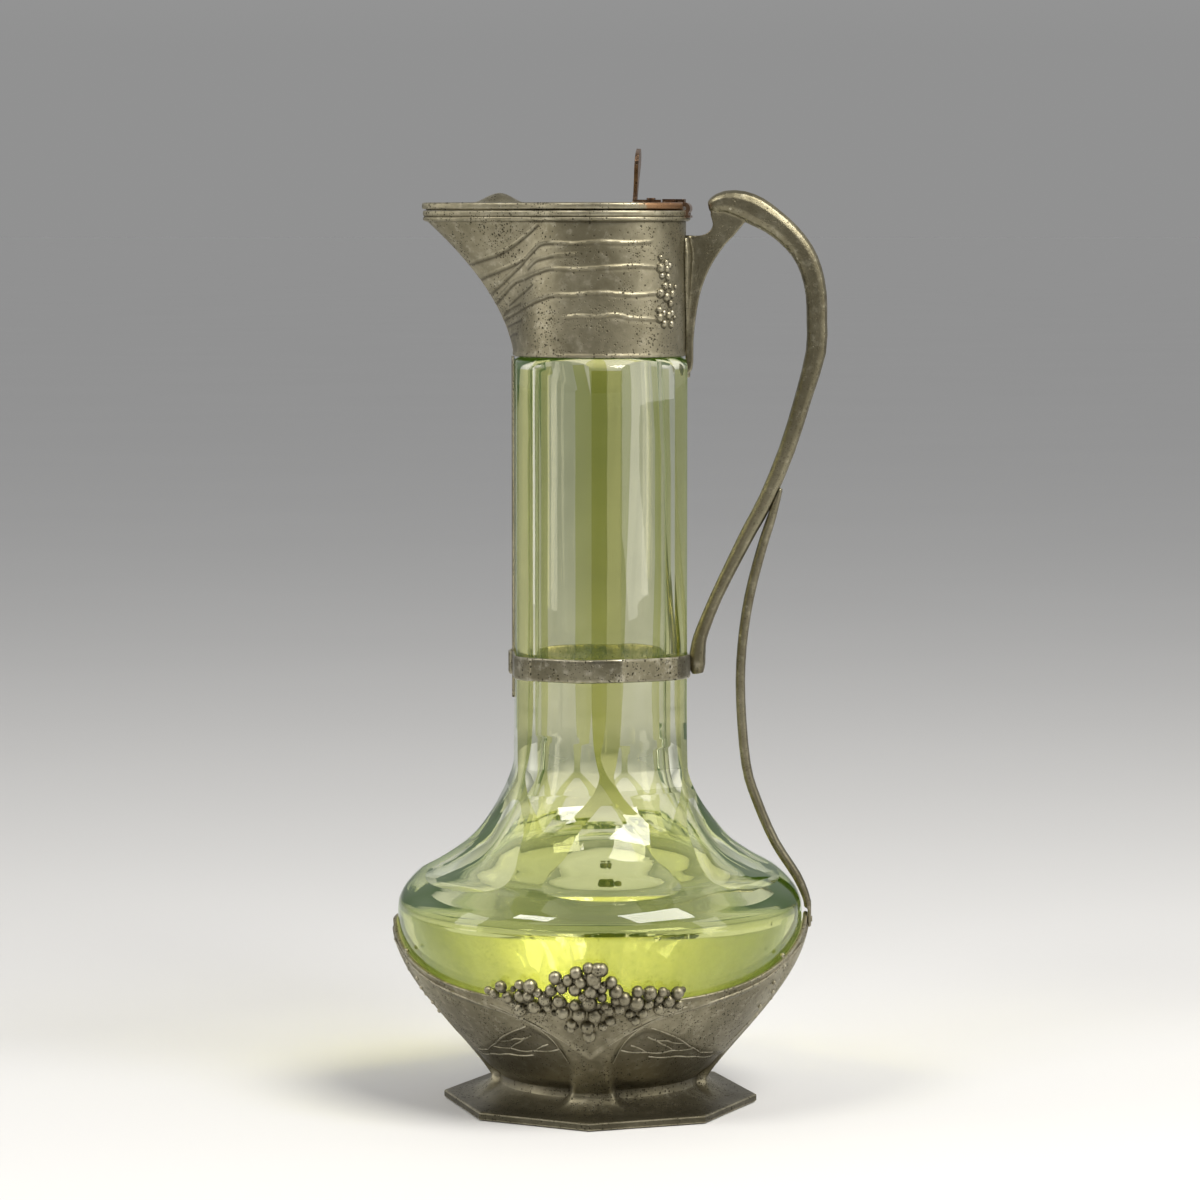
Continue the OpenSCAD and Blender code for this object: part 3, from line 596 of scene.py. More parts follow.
# ---- foot plate ----
# Turned pewter plate soldered into the hollow foot, flat below, where the jug rests on
# it. The lathe has left fine rings on its underside.
PLATE_TONES = (0.25, 0.235, 0.18), (0.14, 0.13, 0.10), (0.36, 0.34, 0.27)
plate_pewter = metal("turned_pewter", PLATE_TONES, 0.6, 0.5, 0.42, 0.4)
nt = plate_pewter.node_tree
rings = nt.nodes.new("ShaderNodeTexWave")
rings.wave_type = "RINGS"
rings.rings_direction = "Z"
rings.inputs["Scale"].default_value = 260
rings.inputs["Distortion"].default_value = 0.3
nt.links.new(object_place(nt), rings.inputs["Vector"])
bump_height = nt.nodes["Principled BSDF"].inputs["Normal"].links[0].from_node.inputs["Height"]
turned = math_node(nt, "MULTIPLY", rings.outputs["Fac"], 0.5)
nt.links.new(math_node(nt, "ADD", bump_height.links[0].from_socket, turned), bump_height)
refinish("foot_plate", plate_pewter)

# ---- cork pad ----
# Disc of pressed cork that lies on the cup's floor, so that the bottle doesn't stand on
# bare metal. It is cut from a sheet, and its grains show dark joints.
cork, nt, shader = new_material("pressed_cork", 0.0, 0.85)
place = object_place(nt)
grains = nt.nodes.new("ShaderNodeTexVoronoi")
grains.inputs["Scale"].default_value = 420
nt.links.new(place, grains.inputs["Vector"])
tone = mix_colour(nt, noise_node(nt, place, 260, 3), (0.27, 0.21, 0.14), (0.16, 0.12, 0.08))
tone = mix_colour(nt, ramp_node(nt, grains.outputs["Distance"], 0.5, 0.8), tone, (0.08, 0.06, 0.04))
nt.links.new(tone, shader.inputs["Base Color"])
refinish("base_pad", cork)

# ---- bottle ----
# Blown bottle of clear glass cased in yellow-green, with six flat faces ground down
# the neck and a leaf ground between each two on the shoulder, all through the casing.
NECK_R, BULB_R, BULB_Z, SHOULDER_H, NECK_H = 34.9, 78.4, 76, 80, 133.5
STRIP_HALF = 9.3
FACE_IN = NECK_R * math.cos(math.radians(30 - STRIP_HALF))
GLASS_WALL, SHOULDER_WALL = 4.8, 6
BORE_R = FACE_IN - GLASS_WALL
SEAT_GAP = 0.4
GLASS_Z, GLASS_FLOOR = 17.1, 6
COLLAR_Z, FINISH_TOP, FINISH_R = 289.5, 305.5, 29.4
FACE_BEND, FACE_END = 0.7, 0.42
LEAF_DEPTH = 2.6
# The bottle sits a little turned in its mounts, so that a ridge is right of the front.
BOTTLE_TURN = 8
# Share of the bulb's bulge that is left at each share of the shoulder's height.
SHOULDER_SHAPE = [
    (0, 1), (0.05, 0.986), (0.115, 0.92), (0.19, 0.775), (0.25, 0.58), (0.325, 0.38), (0.42, 0.226), (0.52, 0.115),
    (0.66, 0.042), (0.81, 0.01), (1, 0),
]


def curve_at(table, x):
    """Value at x on the smooth curve through the table's points."""
    if x >= table[-1][0]:
        return table[-1][1]
    for i in range(len(table) - 1):
        if x <= table[i + 1][0]:
            break
    p = [table[max(i - 1, 0)], table[i], table[i + 1], table[min(i + 2, len(table) - 1)]]
    t = (x - p[1][0]) / (p[2][0] - p[1][0])
    m1 = (p[2][1] - p[0][1]) / (p[2][0] - p[0][0]) * (p[2][0] - p[1][0])
    m2 = (p[3][1] - p[1][1]) / (p[3][0] - p[1][0]) * (p[2][0] - p[1][0])
    first = (2 * t**3 - 3 * t**2 + 1) * p[1][1] + (t**3 - 2 * t**2 + t) * m1
    return first + (-2 * t**3 + 3 * t**2) * p[2][1] + (t**3 - t**2) * m2


def blank_r(t):
    """Radius of the uncut glass at a share of the shoulder's height."""
    return NECK_R + (BULB_R - NECK_R) * max(0, curve_at(SHOULDER_SHAPE, t))


# The blank's line as radius and height: up the outside, over the top, and down the bore.
glass_line = [(0, GLASS_Z), (20, GLASS_Z), (37, GLASS_Z), (41, GLASS_Z + 0.15), (43.6, GLASS_Z + 0.7)]
for i in range(41):
    z = GLASS_Z + 1.6 + (BULB_Z - 1 - GLASS_Z - 1.6) * i / 40
    glass_line.append((cup_r(z) - CUP_WALL - SEAT_GAP, z))
for i in range(91):
    t = (i / 90) ** 1.15
    glass_line.append((blank_r(t), BULB_Z + SHOULDER_H * t))
for i in range(1, 13):
    glass_line.append((NECK_R, BULB_Z + SHOULDER_H + (NECK_H - 4.5) * i / 12))
for t in (15, 30, 45, 60, 75, 90):
    c, s = math.cos(math.radians(t)), math.sin(math.radians(t))
    glass_line.append((FINISH_R + (NECK_R - FINISH_R) * c, COLLAR_Z - 4.5 + 4.4 * s))
glass_line += [(FINISH_R, FINISH_TOP - 0.6), (FINISH_R - 0.5, FINISH_TOP)]
glass_line += [(BORE_R + 0.5, FINISH_TOP), (BORE_R, FINISH_TOP - 0.6)]
for i in range(1, 10):
    glass_line.append((BORE_R, FINISH_TOP - 0.6 - (FINISH_TOP - 0.6 - BULB_Z - SHOULDER_H) * i / 10))
for i in range(70, 0, -1):
    t = (i / 70) ** 1.15
    u = max(0, curve_at(SHOULDER_SHAPE, t))
    z = BULB_Z + SHOULDER_H * t - SHOULDER_WALL * math.sin(math.pi * min(1, t / 0.52))
    glass_line.append((BORE_R + (BULB_R - GLASS_WALL - BORE_R) * u, z))
LOW_Z = GLASS_Z + GLASS_FLOOR + 3
for i in range(24, -1, -1):
    z = LOW_Z + (BULB_Z - LOW_Z) * i / 24
    glass_line.append((cup_r(z - 1) - CUP_WALL - SEAT_GAP - GLASS_WALL, z))
end_r = glass_line[-1][0]
glass_line += [(end_r - 1.2, LOW_Z - 1.6), (end_r - 4, LOW_Z - 2.6), (end_r - 9, LOW_Z - 3)]
glass_line += [(20, LOW_Z - 3), (0, LOW_Z - 3)]


def glass_point(u, v):
    """Point round the blank by u and on its line by v."""
    r, z = glass_line[round(v * (len(glass_line) - 1))]
    return around(360 * u, r, z)


bottle = add_grid("cut_glass_bottle", 256, len(glass_line) - 1, glass_point, 40)


def add_cutter(name, outline, half_length, turn):
    """Prism with an outline in the plane of the axis, lying across it, turned about the axis."""
    data = bpy.data.meshes.new(name)
    low = [Vector((x, -half_length, z)) * MM for x, z in outline]
    data.from_pydata(low, [], [tuple(range(len(low)))])
    cutter = bpy.data.objects.new(name, data)
    bpy.context.scene.collection.objects.link(cutter)
    pick(cutter)
    bpy.ops.object.mode_set(mode="EDIT")
    bpy.ops.mesh.select_all(action="SELECT")
    bpy.ops.mesh.extrude_region_move(TRANSFORM_OT_translate={"value": (0, 2 * half_length * MM, 0)})
    bpy.ops.mesh.select_all(action="SELECT")
    bpy.ops.mesh.normals_make_consistent(inside=False)
    bpy.ops.object.mode_set(mode="OBJECT")
    cutter.data.transform(Matrix.Rotation(math.radians(turn), 4, "Z"))
    return cutter


def cut_away(piece, cutter):
    """Takes the cutter's body out of the piece, and the cutter away."""
    mod = piece.modifiers.new("cut", "BOOLEAN")
    mod.operation = "DIFFERENCE"
    mod.solver = "MANIFOLD"
    mod.object = cutter
    pick(piece)
    bpy.ops.object.modifier_apply(modifier="cut")
    bpy.data.objects.remove(cutter)


# A face runs down the neck and out over the shoulder; a leaf is cut by a round wheel.
CUT_TOP, CUT_OUT = COLLAR_Z + 1, 95
face_outline = []
for i in range(29):
    t = FACE_END + (FACE_BEND - FACE_END) * i / 28
    u = (FACE_BEND - t) / (FACE_BEND - FACE_END)
    face_outline.append((FACE_IN + (blank_r(FACE_END) - FACE_IN) * u**1.5, BULB_Z + SHOULDER_H * t))
face_outline += [(FACE_IN, CUT_TOP), (CUT_OUT, CUT_TOP), (CUT_OUT, BULB_Z + SHOULDER_H * FACE_END)]
wheel_x, wheel_z = NECK_R + (BULB_R - NECK_R) * 1.044, BULB_Z + SHOULDER_H * 0.685
shoulder_line = [(blank_r(t / 400), BULB_Z + SHOULDER_H * t / 400) for t in range(401)]
wheel_r = min(math.dist(spot, (wheel_x, wheel_z)) for spot in shoulder_line) + LEAF_DEPTH
leaf_outline = []
for t in range(0, 360, 2):
    c, s = math.cos(math.radians(t)), math.sin(math.radians(t))
    leaf_outline.append((wheel_x + wheel_r * c, wheel_z + wheel_r * s))
for k in range(6):
    cut_away(bottle, add_cutter("face_wheel", face_outline, BULB_R, 60 * k + BOTTLE_TURN))
    cut_away(bottle, add_cutter("leaf_wheel", leaf_outline, BULB_R, 60 * k + 30 + BOTTLE_TURN))


def glass(name, tint, low_tint, edge_tint, painted_glow, wave):
    """Glass tinted at its surface, deeper where it's seen edge on, with the slow waves of blown glass."""
    mat, nt, shader = new_material(name, 0.0, 0.0)
    shader.inputs["Transmission Weight"].default_value = 1.0
    shader.inputs["IOR"].default_value = 1.5
    place = object_place(nt)
    cloud = noise_node(nt, place, 38, 3, 0.5)
    tone = mix_colour(nt, ramp_node(nt, cloud, 0.35, 0.65), tint, tuple(0.94 * c for c in tint))
    # The glass's tint is paler lower down the bulb.
    height = nt.nodes.new("ShaderNodeSeparateXYZ")
    nt.links.new(place, height.inputs["Vector"])
    tone = mix_colour(nt, ramp_node(nt, height.outputs["Z"], 0.16, 0.08), tone, low_tint)
    rim = nt.nodes.new("ShaderNodeLayerWeight")
    rim.inputs["Blend"].default_value = 0.5
    tone = mix_colour(nt, ramp_node(nt, rim.outputs["Facing"], 0.62, 0.95), tone, edge_tint)
    nt.links.new(tone, shader.inputs["Base Color"])
    # Painted glow: the glass gives off a faint light of its own, in place of light that the coloured glass scatters
    # inside itself.
    nt.links.new(mix_colour(nt, cloud, painted_glow, tuple(0.8 * c for c in painted_glow)), shader.inputs["Emission Color"])
    shader.inputs["Emission Strength"].default_value = 1.0
    smear = math_node(nt, "MULTIPLY", ramp_node(nt, noise_node(nt, place, 120, 4, 0.6), 0.55, 0.8), 0.03)
    nt.links.new(smear, shader.inputs["Roughness"])
    add_bump(nt, shader, noise_node(nt, place, 42, 1, 0.4), wave, 0.001)
    # Lamp light goes straight through, with one surface's share of the tint.
    rays = nt.nodes.new("ShaderNodeLightPath")
    straight = nt.nodes.new("ShaderNodeBsdfTransparent")
    straight.inputs["Color"].default_value = (*(c**0.5 for c in tint), 1)
    mixer = nt.nodes.new("ShaderNodeMixShader")
    nt.links.new(rays.outputs["Is Shadow Ray"], mixer.inputs["Fac"])
    nt.links.new(shader.outputs["BSDF"], mixer.inputs[1])
    nt.links.new(straight.outputs["BSDF"], mixer.inputs[2])
    nt.links.new(mixer.outputs["Shader"], nt.nodes["Material Output"].inputs["Surface"])
    return mat


cased = glass(
    "green_cased_glass", (0.55, 0.53, 0.15), (0.64, 0.66, 0.30), (0.15, 0.30, 0.03), (0.007, 0.017, 0.0005), 0.25
)
clear_cut = glass(
    "ground_clear_glass", (0.95, 0.93, 0.78), (0.95, 0.95, 0.80), (0.50, 0.64, 0.25), (0.005, 0.012, 0.0005), 0.12
)
bottle.data.materials.clear()
bottle.data.materials.append(cased)
bottle.data.materials.append(clear_cut)


def is_cased(spot):
    """True where the blank's own outside is left."""
    r, z = spot.xy.length / MM, spot.z / MM
    if z > COLLAR_Z - 1 or z < GLASS_Z + 1:
        return False
    if z < BULB_Z:
        return abs(r - (cup_r(z) - CUP_WALL - SEAT_GAP)) < 0.25
    return abs(r - blank_r(min(1, (z - BULB_Z) / SHOULDER_H))) < 0.09


for face in bottle.data.polygons:
    spots = [bottle.data.vertices[i].co for i in face.vertices] + [face.center]
    left = is_cased(face.center) and sum(is_cased(spot) for spot in spots) >= len(spots) - 1
    face.material_index = 0 if left else 1
pick(bottle)
bpy.ops.object.shade_smooth_by_angle(angle=math.radians(22))
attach(bottle, "jug")
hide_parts("glass_body")

# ---- berries ----
# Bunch of berries on the front of the cup, and its like on the back: cast in pewter with
# the cup and seated on its low rim, so that they stand before the glass. Each berry has
# its angle from the front, its height and its radius.
BERRIES = [
    (3.2, 64.7, 2.2), (0.9, 65.4, 1.8), (2.1, 61.5, 2.5), (4.4, 64.9, 2.0), (-2.5, 63.5, 2.0), (-8.4, 61.4, 2.0),
    (-4.8, 60.5, 1.8), (-1.4, 59.8, 2.0), (-10.0, 56.2, 1.8), (-6.8, 57.4, 1.8), (-3.1, 57.0, 2.0), (1.3, 56.0, 2.2),
    (4.6, 57.2, 1.5), (8.6, 56.0, 2.2), (7.1, 59.9, 1.8), (-25.3, 56.3, 1.8), (-28.3, 53.2, 1.5), (-29.9, 54.1, 1.2),
    (-23.8, 52.1, 2.0), (-19.2, 57.6, 1.5), (-15.9, 57.4, 2.2), (-19.6, 53.1, 2.0), (-17.1, 53.4, 1.8),
    (-20.7, 47.4, 2.5), (-15.8, 49.0, 2.5), (-12.2, 52.3, 2.2), (-11.7, 48.8, 1.5), (-13.8, 46.1, 1.2),
    (-7.3, 47.0, 2.5), (-8.1, 51.8, 2.0), (-3.4, 50.3, 1.8), (-2.4, 46.3, 2.5), (0.8, 51.6, 2.5), (4.6, 53.8, 1.5),
    (2.4, 45.9, 2.5), (6.6, 48.2, 2.0), (5.4, 49.9, 1.5), (7.2, 43.5, 1.8), (9.8, 48.7, 2.0), (11.0, 52.8, 2.2),
    (12.9, 46.6, 1.5), (14.7, 51.3, 2.5), (14.7, 55.8, 1.8), (18.4, 55.0, 2.2), (18.4, 50.5, 1.8), (17.2, 46.6, 1.8),
    (21.3, 52.6, 1.5), (21.8, 48.0, 2.0), (24.6, 51.2, 2.0), (26.8, 54.3, 2.0), (28.0, 49.7, 1.5), (15.2, 43.3, 1.8),
    (-5.0, 42.2, 1.8), (-5.5, 39.8, 1.5), (0.0, 40.8, 2.5), (4.9, 41.2, 1.8), (0.3, 37.0, 2.5),
    (-0.8, 53.9, 1.6), (8.6, 52.2, 1.5), (-14.0, 54.8, 1.4), (3.0, 58.9, 1.5), (-22.4, 49.6, 1.5), (22.0, 55.2, 1.4),
]


def add_bunch(name, turn, seed):
    """Berries, with smaller ones and a thin web behind them that fill the gaps, darkened as painted shade."""
    rng = random.Random(seed)
    balls = []
    for n, (a, z, r) in enumerate(BERRIES):
        a += turn
        size = r * (1.1 if r > 1.4 else 1.25)
        flat = 0.95 + 0.05 * rng.uniform(-1, 1)
        balls.append(add_ball(f"{name}_{n}", around(a, cup_r(z) + 0.6, z), size, flat, a))
        if z > RIM_LOW - 2:
            balls.append(add_ball(f"{name}_web_{n}", around(a, cup_r(z) - 0.55, z - 0.4), r * 1.32, 0.4, a, 2))
    for n in range(70):
        a, z, r = rng.choice(BERRIES)
        a, z = a + rng.uniform(-2.2, 2.2), z + rng.uniform(-2.4, 1.2)
        size = rng.uniform(1.0, 1.35)
        balls.append(add_ball(f"{name}_small_{n}", around(a + turn, cup_r(z) + 0.1, z), size, 1.0, a + turn, 2))
    # The web and small berries take the painted shade, which darkens the gaps.
    for ball in balls:
        deep = "_web_" in ball.name or "_small_" in ball.name
        ball.data.materials.append(shade_pewter if deep else pewter)
    bunch = balls[0]
    join_to(bunch, balls[1:])
    bunch.name = bunch.data.name = name
    # The bunch's back ends inside the cup's wall, and over the rim just short of the glass.
    for vert in bunch.data.vertices:
        x, y, z = (c / MM for c in vert.co)
        behind = z < rim_z(math.degrees(math.atan2(x, -y))) - 0.6
        least = cup_r(z) - (CUP_WALL / 2 if behind else CUP_WALL + 0.1)
        if math.hypot(x, y) < least:
            vert.co.x, vert.co.y = (c * MM * least / math.hypot(x, y) for c in (x, y))
    return bunch


BUNCHES = (("berry_bunch_front", 0, 3, "berries_front"), ("berry_bunch_back", 180, 8, "berries_back"))
for name, turn, seed, node in BUNCHES:
    bunch = add_bunch(name, turn, seed)
    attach(bunch, "jug")
    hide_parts(node)

# ---- neck band and its rivet ----
# Strap of rolled pewter, bent round the cut neck and riveted into the handle's foot.
# Under the spout it has a bridge, which the tongue's foot is tucked into.
BAND_Z, SPOUT_SIDE = 166.5, 270
BAND_TONES = (0.26, 0.24, 0.165), (0.12, 0.108, 0.068), (0.56, 0.53, 0.43)
worn_pewter = metal("worn_band_pewter", BAND_TONES, 1.0, 1.0, 0.28, 0.9)


def neck_r_at(a, out):
    """Outline of the cut neck, out from its faces, at an angle from the front."""
    turned = (a - BOTTLE_TURN) % 60 - 30
    return min(NECK_R + out + 0.1, (FACE_IN + out) / math.cos(math.radians(turned)))


# The strap's section: out from the neck's faces, and up from its lower edge.
BAND_SECTION = [
    (0.1, 0.5), (0.1, 8.5), (0.3, 8.85), (0.7, 9), (1.0, 8.9), (1.25, 8.5), (1.3, 7.5), (1.3, 4.5), (1.3, 1.5),
    (1.25, 0.5), (1.0, 0.1), (0.7, 0), (0.3, 0.15), (0.1, 0.5),
]


def band_point(u, v):
    """Point round the strap by u and on its section by v."""
    a = 360 * u
    out, z = BAND_SECTION[round(v * (len(BAND_SECTION) - 1))]
    bridge = 1 - step(abs((a - SPOUT_SIDE + 180) % 360 - 180), 3.6, 6.2)
    # The strap was bent by hand: it waves a little, and its ends sit higher.
    sway = 0.25 * math.sin(math.radians(3 * a + 40)) + 0.12 * math.sin(math.radians(7 * a))
    r = neck_r_at(a, out) + bridge * 1.25
    return around(a, r, BAND_Z + z + sway)


band = add_grid("neck_strap", 360, len(BAND_SECTION) - 1, band_point, 50)
band.data.materials.append(worn_pewter)
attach(band, "jug")
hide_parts("neck_band")
refinish("band_rivet", worn_pewter)

# ---- spout tongue ----
# Thin pewter strip, soldered to the collar under the spout, that runs down the glass to
# a point and is held there by the neck band's bridge.
TONGUE = [(289.4, 3.2), (262, 2.9), (225, 2.5), (190, 2.0), (176, 1.6), (168, 1.5), (161.5, 0.9), (157.5, 0.12)]
TONGUE_MIDDLE, TONGUE_HALF_T, TONGUE_BEND_R = 0.62, 0.55, 33.2


def tongue_point(u, v):
    """Point round the strip's section by u and down its length by v."""
    last = len(TONGUE) - 1
    z = between([(i / last, p[0]) for i, p in enumerate(TONGUE)], v)
    half = between([(i / last, p[1]) for i, p in enumerate(TONGUE)], v)
    t = 2 * math.pi * u
    side, out = half * math.cos(t), TONGUE_MIDDLE + TONGUE_HALF_T * math.sin(t)
    a = SPOUT_SIDE + math.degrees(side / TONGUE_BEND_R)
    return around(a, neck_r_at(a, out), z)


tongue = add_grid("spout_tongue_strip", 20, 96, tongue_point, 60)
bpy.ops.object.mode_set(mode="EDIT")
bpy.ops.mesh.select_all(action="DESELECT")
bpy.ops.mesh.select_non_manifold()
bpy.ops.mesh.fill_holes(sides=0)
bpy.ops.mesh.select_all(action="SELECT")
bpy.ops.mesh.normals_make_consistent(inside=False)
bpy.ops.object.mode_set(mode="OBJECT")
tongue.data.materials.append(pewter)
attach(tongue, "jug")
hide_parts("spout_tongue")

# ---- collar ----
# Collar of cast pewter, bedded on the bottle's top and drawn out into a beak of a spout.
# Stems in low relief run round from the keel on both sides and end in small berries
# near the handle.
COLLAR_R, COLLAR_H, COLLAR_WALL = 33, 51.5, 2.2
MOULDING_Z, MOULDING_OUT = 341, 1.7
SPOUT_REACH = 66.5
HINGE_X, LID_Z, LID_TOP = 32.7, 345.55, 348.25
SOLDER_GAP = 0.05


def spout_rise(z):
    """Share of the spout's height at a height."""
    return max(0, (z - COLLAR_Z + 3.5) / (MOULDING_Z - COLLAR_Z + 3.5))


def collar_outline(z, a):
    """Outline of the collar at an angle from the spout's middle."""
    keel = COLLAR_R + (SPOUT_REACH - COLLAR_R) * spout_rise(z) ** 1.8
    q = abs(a) / (14 + 42 * spout_rise(z))
    share = max(0, 1 - math.sqrt(q * q + 0.09**2)) / 0.91
    return COLLAR_R + (keel - COLLAR_R) * share**2.2


# Stems as lines of angle from the spout and height, each with its relief.
STEMS = [
    ([(3.2, 325.1), (21.6, 329.4), (37.1, 335.1), (50.1, 340.6)], 0.45),
    ([(2.2, 319.4), (17.5, 322.9), (27, 325.0), (37, 327.4)], 0.4),
    (
        [
            (2, 313.5), (14, 317.6), (30, 324.0), (42.9, 329.5), (50.5, 332.5), (61.3, 333.3), (77.4, 332.9),
            (92, 333.7), (112, 333.2), (129.8, 333.5),
        ],
        0.5,
    ),
    ([(38, 323.4), (46.6, 326.5), (54.8, 327.6), (62, 328.4), (74.7, 328.8), (80, 329.0)], 0.35),
    (
        [
            (2, 309.8), (12, 313.4), (24.1, 318.0), (36, 320.0), (48.5, 322), (59.8, 323.5), (77.3, 323.2),
            (92, 323.9), (105.9, 324.3), (119, 324.5), (136, 323.9),
        ],
        0.55,
    ),
    (
        [
            (2, 303.6), (14, 305.6), (28.4, 308.0), (39, 309.8), (50.5, 311.8), (61.3, 313.4), (77.4, 313.8),
            (92, 314.6), (110.6, 313.8), (120, 313.6), (136, 314.3),
        ],
        0.55,
    ),
    ([(70, 305.2), (80, 305.8), (92, 305.6), (103.2, 306.3), (113.4, 305.1), (124, 304.6), (136, 304.2)], 0.5),
    ([(14, 309.6), (26, 313.0), (36, 315.6), (44, 318.2)], 0.3),
    ([(5.2, 306.4), (16.8, 308.8), (28.7, 310.8)], 0.3),
    ([(3.8, 301.4), (14.3, 302.7), (24.8, 303.9), (30, 304.4)], 0.35),
    ([(2, 297.4), (9.3, 298.4), (13.7, 298.8), (22, 299.2)], 0.3),
]


def collar_relief(a, z):
    """Height of the stems over the plain collar, in mm, and a dip below each of them."""
    a = abs(a)
    most = 0
    for line, high in STEMS:
        if line[0][0] - 3 < a < line[-1][0] + 3:
            ends = step(a, line[0][0] - 3, line[0][0] + 2) * (1 - step(a, line[-1][0] - 2, line[-1][0] + 3))
            near = z - curve_at(line, min(max(a, line[0][0]), line[-1][0]))
            if abs(near) < 3:
                share = 0.72 if a > 60 else 0.9
                most = max(most, ends * share * high * math.exp(-((near / 0.44) ** 2)))
                most = most if near > 0 else most - 0.12 * ends * math.exp(-(((near + 1.3) / 0.7) ** 2))
    return most


# The rim moulding's section: out from the collar, and height.
MOULDING = [
    (0.5, 341.0), (1.2, 341.25), (1.65, 341.65), (1.7, 342.2), (1.55, 342.65), (1.15, 342.9), (1.5, 343.15),
    (1.7, 343.5), (1.7, 344.6), (1.5, 345.05), (1.1, 345.2), (-1.7, 345.2), (-2.2, 344.7),
]
COLLAR_ROWS = 132
collar_foot = ("wall", 0, -0.7)
# Stations up the outside, over the moulding and down the inside, back to the foot.
collar_stations = [collar_foot, ("wall", 0.004, -0.3)]
collar_stations += [("wall", i / COLLAR_ROWS, 0) for i in range(1, COLLAR_ROWS + 1)]
collar_stations += [("out", x, z) for x, z in MOULDING]
collar_stations += [("in", i / 10, 0) for i in range(10, -1, -1)]
collar_stations.append(collar_foot)


def collar_point(u, v):
    """Point round the collar by u, closer together at the beak, and on its stations by v."""
    w = 2 * u - 1
    a = 180 * (0.45 * w + 0.55 * w**3)
    kind, x, z = collar_stations[round(v * (len(collar_stations) - 1))]
    if kind == "wall":
        out = z
        z = COLLAR_Z + COLLAR_H * x
        bead = 0.35 * math.exp(-(((z - COLLAR_Z - 0.9) / 0.7) ** 2))
        r = collar_outline(z, a) + out + bead + collar_relief(a, z) * (1 - step(z, 339.6, 341))
    elif kind == "out":
        r = collar_outline(MOULDING_Z, a) + x
    else:
        z = COLLAR_Z + 55 * x
        r = collar_outline(min(z, MOULDING_Z), a) - COLLAR_WALL
    return (-r * math.cos(math.radians(a)), -r * math.sin(math.radians(a)), z)


collar = add_grid("collar_casting", 440, len(collar_stations) - 1, collar_point, 40)


def seat_outline(front, bottom):
    """Outline of the block that the hinge takes out of the rim and of the lid, from its front and bottom."""
    back, top = HINGE_X + 9, LID_TOP + 1.75
    return [(front, bottom), (back, bottom), (back, top), (front, top)]


# The plate of the hinge is let into the rim.
lug_low, lug_high = (Vector(corner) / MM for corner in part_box("collar_hinge_lug"))
pocket = seat_outline(lug_low.x - SOLDER_GAP, lug_low.z - SOLDER_GAP)
cut_away(collar, add_cutter("hinge_pocket", pocket, lug_high.y + SOLDER_GAP, 0))
bpy.ops.object.shade_smooth_by_angle(angle=math.radians(40))
collar.data.materials.clear()
# Painted shade under each stem, most of all on the spout's flanks.
shade_share = collar.data.attributes.new("shade_share", "FLOAT", "POINT")
for i, vert in enumerate(collar.data.vertices):
    x, y, z = (c / MM for c in vert.co)
    a = abs(math.degrees(math.atan2(y, -x)))
    dirt = 0
    if z < 340.5 and math.hypot(x, y) > collar_outline(z, a) - 1:
        for line, high in STEMS:
            if line[0][0] < a < line[-1][0]:
                near = z - curve_at(line, a)
                dirt = max(dirt, math.exp(-(((near + 0.85) / 0.5) ** 2)))
    shade_share.data[i].value = dirt * (1.5 if a < 62 else 0.7)

# Small berries near the handle: angle from the spout, height and radius. Each lies in a dark dish of painted shade.
COLLAR_BERRIES = [
    (137.8, 327.5, 0.9), (137.7, 323.7, 1.5), (142.7, 325.4, 1.1), (146.5, 324.5, 0.9), (139.0, 320.7, 0.9),
    (144.7, 320.2, 1.1), (143.6, 323.2, 1.1), (141.9, 316.8, 1.2), (137.5, 314.1, 1.4), (146.8, 316.8, 0.8),
    (143.4, 312.6, 1.4), (149.3, 313.7, 1.2), (147.6, 310.1, 1.1), (153.6, 316.4, 0.6), (136.6, 307.7, 1.1),
    (136.9, 304.9, 1.4), (140.7, 306.5, 1.0), (145.3, 305.7, 1.2), (149.1, 306.5, 1.0), (141.1, 302.5, 1.2),
    (148.4, 302.3, 1.1), (152.5, 304.8, 0.6),
]
balls = []
for side in (-1, 1):
    for n, (a, z, r) in enumerate(COLLAR_BERRIES):
        t = math.radians(side * a)
        at = collar_outline(z, a) + 0.15
        spot = (-at * math.cos(t), -at * math.sin(t), z)
        balls.append(add_ball(f"collar_berry_{side}_{n}", spot, r * 1.2, 0.9, side * a - 90, 3 if r > 1 else 2))
        balls[-1].data.materials.append(pewter)
        low = (-(at - 0.3) * math.cos(t), -(at - 0.3) * math.sin(t), z - 0.15)
        balls.append(add_ball(f"shade_dish_{side}_{n}", low, r * 1.2 + 0.55, 0.22, side * a - 90, 3))
        balls[-1].data.materials.append(shade_pewter)
collar.data.materials.append(cup_pewter)
join_to(collar, balls)
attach(collar, "jug")
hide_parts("collar")

# ---- bedding ----
# Plaster that was poured between the collar and the bottle's top, and has set. It holds
# the collar on the glass.
plaster, nt, shader = new_material("set_plaster", 0.0, 0.9)
place = object_place(nt)
tone = mix_colour(nt, noise_node(nt, place, 180, 5, 0.7), (0.62, 0.59, 0.52), (0.42, 0.39, 0.33))
nt.links.new(tone, shader.inputs["Base Color"])
add_bump(nt, shader, noise_node(nt, place, 900, 4, 0.6), 0.6, 0.0003)
refinish("collar_bedding", plaster)

